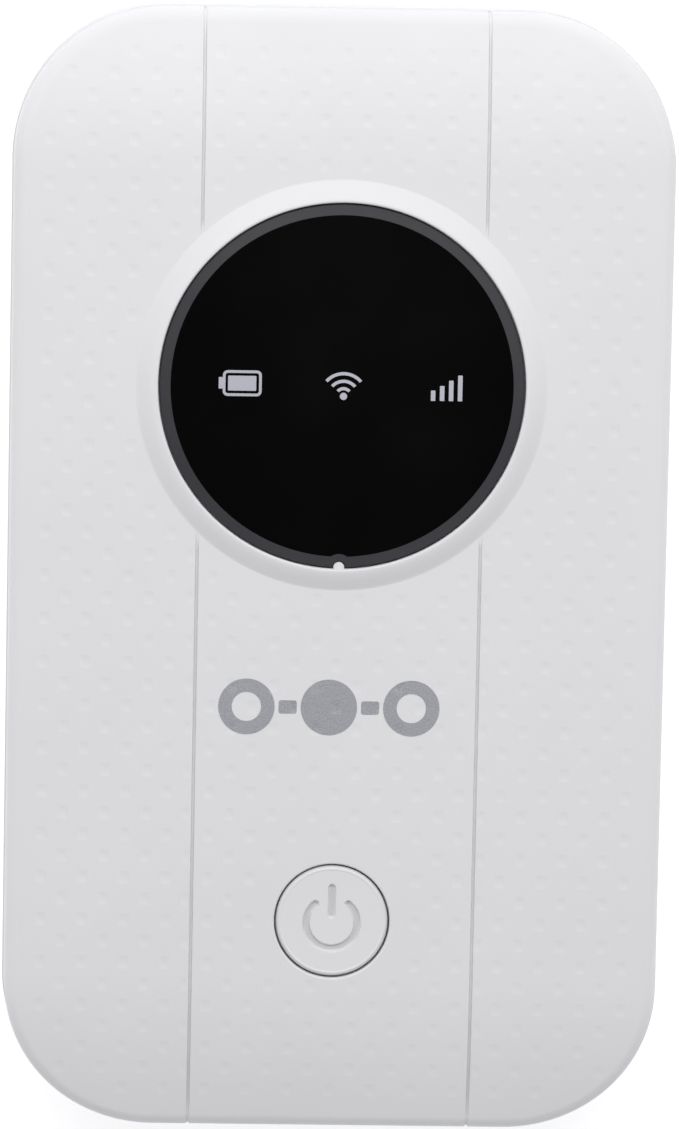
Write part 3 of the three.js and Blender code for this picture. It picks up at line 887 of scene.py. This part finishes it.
def arc_strip(x, y, inner, outer, start, end, steps=24):
    """Outline of part of a ring between two angles in degrees."""
    turns = [math.radians(start + (end - start) * i / steps) for i in range(steps + 1)]
    out = [(x + outer * math.cos(t), y + outer * math.sin(t)) for t in turns]
    back = [(x + inner * math.cos(t), y + inner * math.sin(t)) for t in turns[::-1]]
    return out + back


def rounded_bar(x0, x1, y0, y1, corner):
    return outline((x1 - x0) / 2, (y1 - y0) / 2, corner, 4, ((x0 + x1) / 2, (y0 + y1) / 2))


# ---------------------------------------------------------------- display lens and its signs

NOTCH = 0.58
MASK_RADIUS = 15.08
MASK_NOTCH = 1.22
INK = 0.012
SIGNS_UP = 0.16
BATTERY_SIGN = {"left": -10.5, "right": -7.08, "half": 1.14, "stroke": 0.24, "charge": 0.66, "knob": 0.36}
FAN_SIGN = {"x": 0.12, "foot": 1.02, "dot": 0.32, "arcs": (0.82, 1.47, 2.14), "stroke": 0.28,
            "start": 41, "end": 139}
BARS_SIGN = {"left": 7.8, "pitch": 0.79, "width": 0.4, "foot": 1.3, "heights": (0.92, 1.33, 1.81, 2.27)}


def lens_height(x, y):
    return np.full_like(x, LENS_TOP)


def display_lens():
    low = LENS_LOW[2]
    profile = [(LENS_RADIUS, low), (LENS_RADIUS, LENS_TOP - 0.2), (LENS_RADIUS - 0.03, LENS_TOP - 0.13),
               (LENS_RADIUS - 0.1, LENS_TOP - 0.085), (MASK_RADIUS + 0.12, LENS_TOP - 0.012),
               (MASK_RADIUS, LENS_TOP)]
    lens = piece("display_lens_look", turned(0, LENS_Y, profile, 160), "lens_edge",
                 stands_for=["display_lens"], sharp=20)
    notch_y = LENS_Y - LENS_RADIUS
    combine(lens, turned(0, notch_y, [(NOTCH, low - 1), (NOTCH, LENS_TOP + 1)], 40), "DIFFERENCE", 20)
    ease(lens, 0.03)

    # The black printing covers all but the edge, and stops short of the notch.
    reach = LENS_RADIUS
    rise = (MASK_RADIUS ** 2 + reach ** 2 - MASK_NOTCH ** 2) / (2 * reach)
    half = math.acos(rise / MASK_RADIUS)
    turns = np.linspace(-math.pi / 2 + half, 3 * math.pi / 2 - half, 180)
    mask = [(MASK_RADIUS * math.cos(t), LENS_Y + MASK_RADIUS * math.sin(t)) for t in turns]
    side = math.atan2(reach - rise, MASK_RADIUS * math.sin(half))
    for t in np.linspace(math.pi - side, side, 24)[1:-1]:
        mask.append((MASK_NOTCH * math.cos(t), notch_y + MASK_NOTCH * math.sin(t)))
    inlay("lens_mask", [[mask]], lens_height, INK, "lens_black", slot="lens_plastic")

    # Battery, wireless and signal signs.
    y = LENS_Y + SIGNS_UP
    x0, x1, half, stroke, charge, knob = BATTERY_SIGN.values()
    signs = [[rounded_bar(x0, x1, y - half, y + half, 0.42),
              rounded_bar(x0 + stroke, x1 - stroke, y - half + stroke, y + half - stroke, 0.2)],
             [rounded_bar(x0 + 0.46, x1 - 0.48, y - charge, y + charge, 0.06)],
             [rounded_bar(x0 - knob, x0, y - 0.5, y + 0.52, 0.08)]]
    x, foot = FAN_SIGN["x"], y - FAN_SIGN["foot"]
    signs.append([circle(x, foot, FAN_SIGN["dot"], 32)])
    for outer in FAN_SIGN["arcs"]:
        inner = outer - FAN_SIGN["stroke"]
        signs.append([arc_strip(x, foot, inner, outer, FAN_SIGN["start"], FAN_SIGN["end"])])
    low = y - BARS_SIGN["foot"]
    for i, height in enumerate(BARS_SIGN["heights"]):
        left = BARS_SIGN["left"] + BARS_SIGN["pitch"] * i
        signs.append([rounded_bar(left, left + BARS_SIGN["width"], low, low + height, 0.05)])

    def mask_height(x, y):
        return lens_height(x, y) + INK
    inlay("lens_signs", signs, mask_height, INK, "diffuser_film", sunk=0.004)


# ---------------------------------------------------------------- printed mark

MARK = {"x": -0.62, "y": -11.5, "node": 2.5, "hole": 1.3, "hub": 2.5, "bar": 0.6, "reach": 7.3, "gap": 0.35}


def printed_mark():
    """Three linked nodes, as a neutral sign for sharing a connection."""
    x, y, node, hole, hub, bar, reach, gap = MARK.values()

    def linked(side):
        ring = [(x + side * reach + node * math.cos(t), y + node * math.sin(t))
                for t in np.linspace(0, 2 * math.pi, 64, endpoint=False)]
        inner = circle(x + side * reach, y, hole, 48)
        near, far = x + side * (hub + gap), x + side * (reach - node - gap)
        link = rounded_bar(min(near, far), max(near, far), y - bar, y + bar, 0.2)
        return [[ring, inner], [link]]
    shapes = [[circle(x, y, hub, 72)]] + linked(-1) + linked(1)
    inlay("printed_mark", shapes, face_height, INK, "silver_print", spacing=0.22, slot="button_plastic")


# ---------------------------------------------------------------- power button

DISH = {"radius": 4.5, "depth": 0.075, "edge": 0.045}
SYMBOL = {"lift": -0.22, "radius": 2.27, "half": 0.3, "opening": 40, "top": 3.2, "foot": 0.75, "depth": 0.34,
          "lip": 0.06, "wall": 0.17, "floor": 0.19}
BUTTON_STEPS = 112
BUTTON_PITCH = 0.085
FLANGE_TOP = 11.7
BUTTON_INSIDE = {"radius": 4.1, "roof": 12.15, "stem": 1.1, "stem_end": 11.6}


def symbol_distance(x, y):
    """Distance to the middle line of the power sign: an open ring and a bar."""
    u, v = x, y - BUTTON_Y - SYMBOL["lift"]
    opening = math.radians(SYMBOL["opening"])
    angle = np.abs(np.arctan2(u, v))
    ring = np.abs(np.hypot(u, v) - SYMBOL["radius"])
    end_x, end_y = SYMBOL["radius"] * math.sin(opening), SYMBOL["radius"] * math.cos(opening)
    ends = np.hypot(np.abs(u) - end_x, v - end_y)
    ring = np.where(angle > opening, ring, ends)
    bar = np.hypot(u, np.maximum(0, np.maximum(v - SYMBOL["top"], SYMBOL["foot"] - v)))
    return np.minimum(ring, bar)


def button_height(x, y):
    """A shallow dish with the power sign sunk into it."""
    radius = np.hypot(x, y - BUTTON_Y)
    dish = DISH["depth"] * (1 - np.clip(radius / DISH["radius"], 0, 1) ** 2)
    wall = smooth((SYMBOL["half"] + SYMBOL["lip"] - symbol_distance(x, y)) / SYMBOL["wall"])
    return BUTTON_TOP - DISH["edge"] - dish - SYMBOL["depth"] * wall


def power_button():
    skin = Skin()
    rim, steps, pitch = DISH["radius"], BUTTON_STEPS, BUTTON_PITCH
    angles = [2 * math.pi * i / steps for i in range(steps)]
    points, edges = [], []
    add_loop(points, edges, [(rim * math.cos(a), BUTTON_Y + rim * math.sin(a)) for a in angles])
    grid = np.arange(-rim, rim, pitch)
    x, y = (axis.ravel() for axis in np.meshgrid(grid, grid + BUTTON_Y))
    radius = np.hypot(x, y - BUTTON_Y)
    fine = np.abs(symbol_distance(x, y) - SYMBOL["half"] + 0.025) < 0.16
    sparse = (np.round(x / pitch) % 4 == 0) & (np.round((y - BUTTON_Y) / pitch) % 4 == 0)
    keep = (radius < rim - 0.07) & (fine | sparse)
    points += list(zip(x[keep].tolist(), y[keep].tolist()))
    flat, triangles, sources = triangulated(points, edges)
    slopes = normals_of(button_height, flat[:, 0], flat[:, 1])
    heights = button_height(flat[:, 0], flat[:, 1])
    index = skin.add(np.column_stack([flat, heights]), slopes)
    for triangle in triangles:
        skin.face([index[i] for i in triangle])
    made = {min(origin): index[i] for i, origin in enumerate(sources) if origin and min(origin) < steps}
    foot = [made[i] for i in range(steps)]
    low = BUTTON_LOW[2]
    flange = BUTTON_HIGH[0]
    edge = [(radius, BUTTON_TOP - drop) for radius, drop in (
        (4.56, 0.03), (4.62, 0.008), (4.68, 0), (4.74, 0.015), (4.81, 0.055), (4.88, 0.12), (4.94, 0.21),
        (BUTTON_RADIUS, 0.32))]
    ring = turned_band(skin, BUTTON_Y, angles, edge, foot, outwards=True)
    inner, roof, stem, stem_end = BUTTON_INSIDE.values()
    for radius, z in ((BUTTON_RADIUS, FLANGE_TOP), (flange, FLANGE_TOP), (flange, low), (inner, low),
                      (inner, roof), (stem, roof), (stem, stem_end)):
        new = skin.add(at(circle(0, BUTTON_Y, radius, steps), z))
        skin.band(new, ring, False)
        ring = new
    skin.face(ring[::-1], False)
    skin.piece("power_button_look", "button_plastic", "power_button", ["power_button"])

    # The floor of the sign is painted slightly darker than the button, as painted shade in the engraving.
    floor, opening, radius = SYMBOL["floor"], SYMBOL["opening"], SYMBOL["radius"]
    centre = BUTTON_Y + SYMBOL["lift"]
    low, high = centre + SYMBOL["foot"] - 0.15, centre + SYMBOL["top"] + 0.15
    shapes = [[arc_strip(0, centre, radius - floor, radius + floor, 88 + opening, 452 - opening, 64)],
              [rounded_bar(-floor, floor, low, high, 0.18)]]
    inlay("power_sign_floor_shade", shapes, button_height, INK, "painted_shade_plastic",
          slot="button_plastic", body="power_button")


# ---------------------------------------------------------------- rear housing

# Half sizes, depths and radii of what is cut out of the rear housing.
BAY = {"half": 25.8, "low": -37.8, "high": 17.8, "floor": 6.5, "wall": 1.3}
PLATE = 1.1
LIP = {"inset": 2.6, "wall": 1.2}
SCREW_WELL = {"post": 2.6, "head": 1.9, "head_top": 4.2, "shank": 1}
SIM_WELL = {"half": 8, "behind": 13, "ahead": 1.1}
CONTACT_WELL = {"half": 6.2, "floor": 3.6}
RESET_HOLE = 0.8
NAIL_SLOT = {"half": 6, "depth": 1.1, "height": 0.8}


def cut_block(target, half, y0, y1, z0, z1):
    combine(target, block(-half, half, y0, y1, z0, z1), "DIFFERENCE")


def rear_housing():
    lip, floor = LIP["inset"], REAR_LOW[2]
    made = piece("rear_housing_look", slab(body_outline, REAR_BASE, REAR_TOP, 0.12), "shell_plastic",
                 stands_for=["rear_housing"])
    combine(made, slab(lambda inset: body_outline(lip + inset), floor, REAR_TOP - 1, 0.15), "UNION")
    # Open towards the board beyond both ends of the battery bay.
    for side, limit in ((1, BAY["high"] + BAY["wall"]), (-1, BAY["low"] - BAY["wall"])):
        for inset, low in ((lip + LIP["wall"], floor + PLATE), (WALL, REAR_BASE + 1)):
            past = max(0, abs(limit) - (HALF_LENGTH - CORNER))
            width = side * (HALF_WIDTH - CORNER + math.sqrt((CORNER - inset) ** 2 - past ** 2))
            loop = [(x, y) for x, y in body_outline(inset) if side * (y - limit) > 0.01]
            loop = [(width, limit)] + loop + [(-width, limit)]
            combine(made, loft([at(loop, low), at(loop, REAR_TOP + 1)]), "DIFFERENCE")
    centre = (0, (BAY["low"] + BAY["high"]) / 2)
    bay = outline(BAY["half"], (BAY["high"] - BAY["low"]) / 2, 1.2, 8, centre)
    combine(made, loft([at(bay, 0), at(bay, BAY["floor"])]), "DIFFERENCE")
    post, head, head_top, shank = SCREW_WELL.values()
    for node in SCREWS[:4]:
        x, y = axis_of(node)
        combine(made, turned(x, y, [(post, floor + 0.3), (post, REAR_TOP - 0.01)], 40), "UNION")
        combine(made, turned(x, y, [(head, 0), (head, head_top)], 40), "DIFFERENCE")
        combine(made, turned(x, y, [(shank, 0), (shank, REAR_TOP + 1)], 32), "DIFFERENCE")
    sim_low, sim_high = extents("sim_card")
    cut_block(made, SIM_WELL["half"], sim_low[1] - SIM_WELL["behind"], sim_high[1] + SIM_WELL["ahead"],
              BAY["floor"] - 1, REAR_TOP + 1)
    cut_block(made, CONTACT_WELL["half"], BAY["high"] - 1, BAY["high"] + 2, CONTACT_WELL["floor"],
              REAR_TOP + 1)
    x, y = axis_of("reset_switch_plunger")
    hole = [(RESET_HOLE, BAY["floor"] - 1), (RESET_HOLE, REAR_TOP + 1)]
    combine(made, turned(x, y, hole, 24), "DIFFERENCE")
    cut_block(made, NAIL_SLOT["half"], HALF_LENGTH - NAIL_SLOT["depth"], HALF_LENGTH + 2,
              REAR_BASE - 1, REAR_BASE + NAIL_SLOT["height"])
    mouth = outline(USB_HALF, (USB_ROOF - USB_SILL) / 2, 0.5, 6, (0, (USB_ROOF + USB_SILL) / 2))
    rings = [[(x, y, z) for x, z in mouth] for y in (-45, -HALF_LENGTH - 2)]
    combine(made, loft(rings), "DIFFERENCE")


# ---------------------------------------------------------------- back cover

def back_cover():
    """A dished skin with a rounded edge, and snap tongues inside its wall."""
    skin = 1.1
    edge = 0.12
    run, rise = BACK_RIM["run"], BACK_RIM["rise"]
    rings = [at(body_outline(run + 0.4), 0)]
    for i in range(13):
        angle = (1 - i / 12) * math.pi / 2
        rings.append(at(body_outline(run * (1 - math.cos(angle))), rise * (1 - math.sin(angle))))
    rings.append(at(body_outline(0), COVER_TOP - edge))
    rings.append(at(body_outline(edge * 0.3), COVER_TOP - edge * 0.3))
    rings.append(at(body_outline(edge), COVER_TOP))
    rings.append(at(body_outline(skin - 0.05), COVER_TOP))
    rings.append(at(body_outline(skin), COVER_TOP - 0.05))
    for i in range(9):
        angle = i / 8 * math.pi / 2
        inset = skin + 2.6 * (1 - math.cos(angle))
        rings.append(at(body_outline(inset), skin + 2.0 * (1 - math.sin(angle))))
    rings.append(at(body_outline(skin + 3.0), skin))
    made = loft(rings)
    low, high = COVER_TOP - 1, COVER_TOP - 0.15
    root, tip, half = skin - 0.2, skin + 0.85, 2.5
    wedge = [(root, low), (tip, low + 0.35), (tip, low + 0.55), (root, high)]

    def tongue_on_side(side, y):
        """A wedge that is full depth at its middle and thin at its top."""
        wall = HALF_WIDTH * side
        return loft([[(wall - side * d, end, z) for d, z in wedge] for end in (y - half, y + half)])

    def tongue_on_end(x):
        return loft([[(end, HALF_LENGTH - d, z) for d, z in wedge] for end in (x - half, x + half)])
    tongues = [tongue_on_side(side, y) for side in (1, -1) for y in (-26, 0, 26)]
    tongues += [tongue_on_end(x) for x in (11, -11)]
    piece("back_cover_look", joined(made, *tongues), "shell_plastic", "back_cover", ["back_cover"],
          sharp=30)


# ---------------------------------------------------------------- socket in the bottom end

CANT = {"across": 0.9, "up": 1}


def socket_section(inset, corner):
    """Section of a micro socket with both lower corners canted and every corner rounded."""
    half = USB_HIGH[0] - inset
    low, high = USB_LOW[2] + inset, USB_HIGH[2] - inset
    foot, knee = half - CANT["across"], low + CANT["up"]
    sharp = [(-half, high), (-half, knee), (-foot, low), (foot, low), (half, knee), (half, high)]
    points = []
    for i, spot in enumerate(sharp):
        here, before, after = Vector(spot), Vector(sharp[i - 1]), Vector(sharp[(i + 1) % 6])
        first = here + (before - here).normalized() * corner
        last = here + (after - here).normalized() * corner
        for t in np.linspace(0, 1, 6):
            bend = first.lerp(here, t).lerp(here.lerp(last, t), t)
            points.append((bend.x, bend.y))
    return points


def usb_socket():
    mouth, rear = USB_LOW[1], USB_HIGH[1]
    wall = 0.3

    def ring(inset, y):
        return [(x, y, z) for x, z in socket_section(inset, max(0.08, 0.3 - inset / 2))]
    rings = [ring(0, rear), ring(0, mouth + 0.08), ring(0.06, mouth), ring(wall - 0.08, mouth),
             ring(wall, mouth + 0.15), ring(wall, rear)]
    piece("usb_socket_shell_look", loft(rings[::-1], closed=True), "plated_steel",
          stands_for=["usb_socket_shell"], sharp=30)
    blade_top = USB_HIGH[2] - 0.65
    contacts = []
    for i in range(5):
        x = (i - 2) * 0.65
        contacts.append(block(x - 0.2, x + 0.2, mouth + 1.2, rear - 1.3, blade_top - 0.62, blade_top - 0.58))
    piece("usb_socket_contacts", joined(*contacts), "gold_contact")


# ---------------------------------------------------------------- screws, battery and labels

def screw(node):
    """A cross-head screw driven towards +Z, with a domed head."""
    low, high = extents(node)
    x, y = axis_of(node)
    head = (high[0] - low[0]) / 2
    case = node.startswith("case")
    seat = low[2] + (1.2 if case else 0.65)
    shank = 0.7 if case else 0.62
    top = low[2]
    profile = [(head * 0.55, top), (head * 0.8, top + 0.08), (head * 0.96, top + 0.25), (head, top + 0.4),
               (head, seat), (shank, seat), (shank, high[2] - 0.3),
               (shank * 0.6, high[2])]
    made = piece(f"{node}_look", turned(x, y, profile, 40), "plated_steel", stands_for=[node])
    arm, slot = head * 0.55, 0.17
    for a, b in ((arm, slot), (slot, arm)):
        combine(made, block(x - a, x + a, y - b, y + b, top - 1, top + 0.4), "DIFFERENCE")


def battery():
    """The cell in its dark wrap, with a blank label on the face towards the board."""
    low, high = CELL_LOW, CELL_HIGH
    centre = ((low[0] + high[0]) / 2, (low[1] + high[1]) / 2)
    half = (high[0] - low[0]) / 2, (high[1] - low[1]) / 2
    piece("battery_cell_look",
          slab(lambda inset: outline(half[0] - inset, half[1] - inset, 1 - inset * 0.9, 8, centre),
               low[2], high[2], 0.7),
          "battery_wrap", "battery", ["battery_cell"], sharp=40)
    label = outline(half[0] - 4, half[1] - 5, 1.5, 8, centre)
    band = outline(half[0] - 5.2, half[1] - 6.2, 0.8, 8, centre)
    band_inner = outline(half[0] - 5.5, half[1] - 6.5, 0.6, 8, centre)

    def front(x, y):
        return np.full_like(x, high[2])
    inlay("battery_label", [[label]], front, 0.02, "paper_label", body="battery")
    inlay("battery_label_line", [[band, band_inner]], front, 0.03, "silver_print",
          slot="lens_plastic", body="battery")


# ---------------------------------------------------------------- the other CAD parts

NODES_OF_LOOK = {
    "black_foam": ["cover_foam_pad"],
    "black_plastic": ["lens_adhesive_ring", "light_baffle", "power_switch_plunger", "usb_socket_tongue",
                      "sim_holder_base", "reset_switch_plunger", "battery_end_cap", "battery_connector"],
    "diffuser_film": ["icon_film"],
    "lamp_resin": ["led_battery", "led_wifi", "led_signal"],
    "plated_steel": ["power_switch_body", "modem_shield", "radio_shield", "crystal_can",
                     "sim_holder_cage", "reset_switch_body"],
    "board_laminate": ["main_board"],
    "gap_pad": ["thermal_pad"],
    "chip_resin": ["baseband_chip", "memory_chip", "transceiver_chip", "power_management_chip",
                   "charge_inductor"],
    "paper_label": ["sim_card", "bay_label"],
    "gold_contact": ["battery_terminal_1", "battery_terminal_2", "battery_terminal_3",
                     "battery_spring_1", "battery_spring_2", "battery_spring_3", "antenna_clip_main",
                     "antenna_clip_diversity", "antenna_clip_wifi"],
    "antenna_film": ["antenna_main", "antenna_diversity", "antenna_wifi"],
}


def dress_nodes():
    """Gives the CAD parts that stay in view their finish and a small edge radius."""
    for look, names in NODES_OF_LOOK.items():
        for name in names:
            node = frame["nodes"][name]
            node.data.materials.clear()
            node.data.materials.append(LOOK[look])
            weld = node.modifiers.new("weld", "WELD")
            weld.merge_threshold = 0.001 * MM
            low, high = extents(name)
            ease(node, min(0.08, float(min(high - low)) / 5))


# ---------------------------------------------------------------- floor, light and camera

def floor_material():
    """A pale ground that glows a little, so that it stays bright; it can be seen through from below."""
    shader = Shader("floor", specular=0.1)
    nodes, bsdf = shader.nodes, shader.bsdf
    shader.color(shader.mix(shader.noise(0.06), (0.60, 0.60, 0.61), (0.62, 0.62, 0.63)))
    bsdf.inputs["Roughness"].default_value = 0.9
    bsdf.inputs["Emission Color"].default_value = (1, 1, 1, 1)
    bsdf.inputs["Emission Strength"].default_value = 0.62
    clear = nodes.new("ShaderNodeBsdfTransparent")
    choose = nodes.new("ShaderNodeMixShader")
    shader.put(nodes.new("ShaderNodeNewGeometry").outputs["Backfacing"], choose.inputs["Fac"])
    shader.put(bsdf.outputs["BSDF"], choose.inputs[1])
    shader.put(clear.outputs["BSDF"], choose.inputs[2])
    shader.put(choose.outputs["Shader"], nodes["Material Output"].inputs["Surface"])
    return shader.material


def stage():
    mesh = bpy.data.meshes.new("floor")
    lines, depth = (-3.0, -0.5, -0.08, 0.08, 0.5, 3.0), -0.0001
    corners = [(x, y, depth) for y in lines for x in lines]
    count = len(lines)
    squares = [(i, i + 1, i + 1 + count, i + count)
               for i in range(count * (count - 1)) if i % count != count - 1]
    mesh.from_pydata(corners, [], squares)
    mesh.materials.append(floor_material())
    floor = bpy.data.objects.new("floor", mesh)
    bpy.context.scene.collection.objects.link(floor)


DOME = {"away": 0.42, "display_end": 0.87}


def world():
    """A pale dome, brighter at the display end, that darkens overhead, where the camera looks down."""
    made = bpy.data.worlds.new("studio")
    bpy.context.scene.world = made
    made.use_nodes = True
    nodes, links = made.node_tree.nodes, made.node_tree.links
    split = nodes.new("ShaderNodeSeparateXYZ")
    links.new(nodes.new("ShaderNodeTexCoord").outputs["Generated"], split.inputs["Vector"])
    ramp = nodes.new("ShaderNodeValToRGB")
    ramp.color_ramp.elements[0].position = 0.90
    ramp.color_ramp.elements[0].color = (0.955, 0.96, 0.985, 1)
    ramp.color_ramp.elements[1].position = 0.965
    ramp.color_ramp.elements[1].color = (0.05, 0.05, 0.052, 1)
    links.new(split.outputs["Z"], ramp.inputs["Fac"])
    links.new(ramp.outputs["Color"], nodes["Background"].inputs["Color"])
    span = nodes.new("ShaderNodeMapRange")
    span.inputs["From Min"].default_value = -1
    span.inputs["To Min"].default_value = DOME["away"]
    span.inputs["To Max"].default_value = DOME["display_end"]
    links.new(split.outputs["Y"], span.inputs["Value"])
    # A bright horizon meets the bright floor without a seam.
    rise = nodes.new("ShaderNodeMapRange")
    rise.inputs["From Min"].default_value = 0.02
    rise.inputs["From Max"].default_value = 0.15
    links.new(split.outputs["Z"], rise.inputs["Value"])
    blend = nodes.new("ShaderNodeMix")
    blend.inputs["A"].default_value = 1.08
    links.new(rise.outputs["Result"], blend.inputs["Factor"])
    links.new(span.outputs["Result"], blend.inputs["B"])
    links.new(blend.outputs["Result"], nodes["Background"].inputs["Strength"])


KEY = {"place": (0, 0.175, 0.305), "target": (0, 0, 0.013), "width": 0.44, "height": 0.16, "power": 0.79}


def key_light():
    """A wide soft light over the display end."""
    light = bpy.data.lights.new("key", "AREA")
    light.shape = "RECTANGLE"
    light.size, light.size_y = KEY["width"], KEY["height"]
    light.energy = KEY["power"]
    made = bpy.data.objects.new("key", light)
    made.location = KEY["place"]
    aim = Vector(KEY["target"]) - Vector(KEY["place"])
    made.rotation_euler = aim.to_track_quat("-Z", "Y").to_euler()
    bpy.context.scene.collection.objects.link(made)


# Focal length and sensor in mm, turns in degrees about X, Y and Z, and the hotspot's place in mm.
CAMERA = {"lens": 212.07, "sensor": 36, "turns": (7.553, 1.8745, -1.1021), "shift": (-0.5333, 0.4686, -600)}


def camera():
    """Looks almost straight down from 600 mm, a little from the display end."""
    lens = bpy.data.cameras.new("camera")
    lens.sensor_width = CAMERA["sensor"]
    lens.lens = CAMERA["lens"]
    lens.clip_start = 0.01
    made = bpy.data.objects.new("camera", lens)
    about_x, about_y, about_z = (
        Matrix.Rotation(math.radians(angle), 4, axis) for angle, axis in zip(CAMERA["turns"], "XYZ"))
    turn = about_x @ about_y @ about_z
    shift = Vector(CAMERA["shift"]) * MM
    back = turn.transposed()
    made.matrix_world = Matrix.Translation(-(back @ shift)) @ back
    bpy.context.scene.collection.objects.link(made)
    bpy.context.scene.camera = made


# ---------------------------------------------------------------- the scene

front_shell()
display_lens()
printed_mark()
power_button()
rear_housing()
back_cover()
usb_socket()
for screw_node in SCREWS:
    screw(screw_node)
battery()
dress_nodes()
stage()
world()
camera()
key_light()

scene = bpy.context.scene
scene.view_settings.view_transform = "Standard"
scene.view_settings.look = "None"
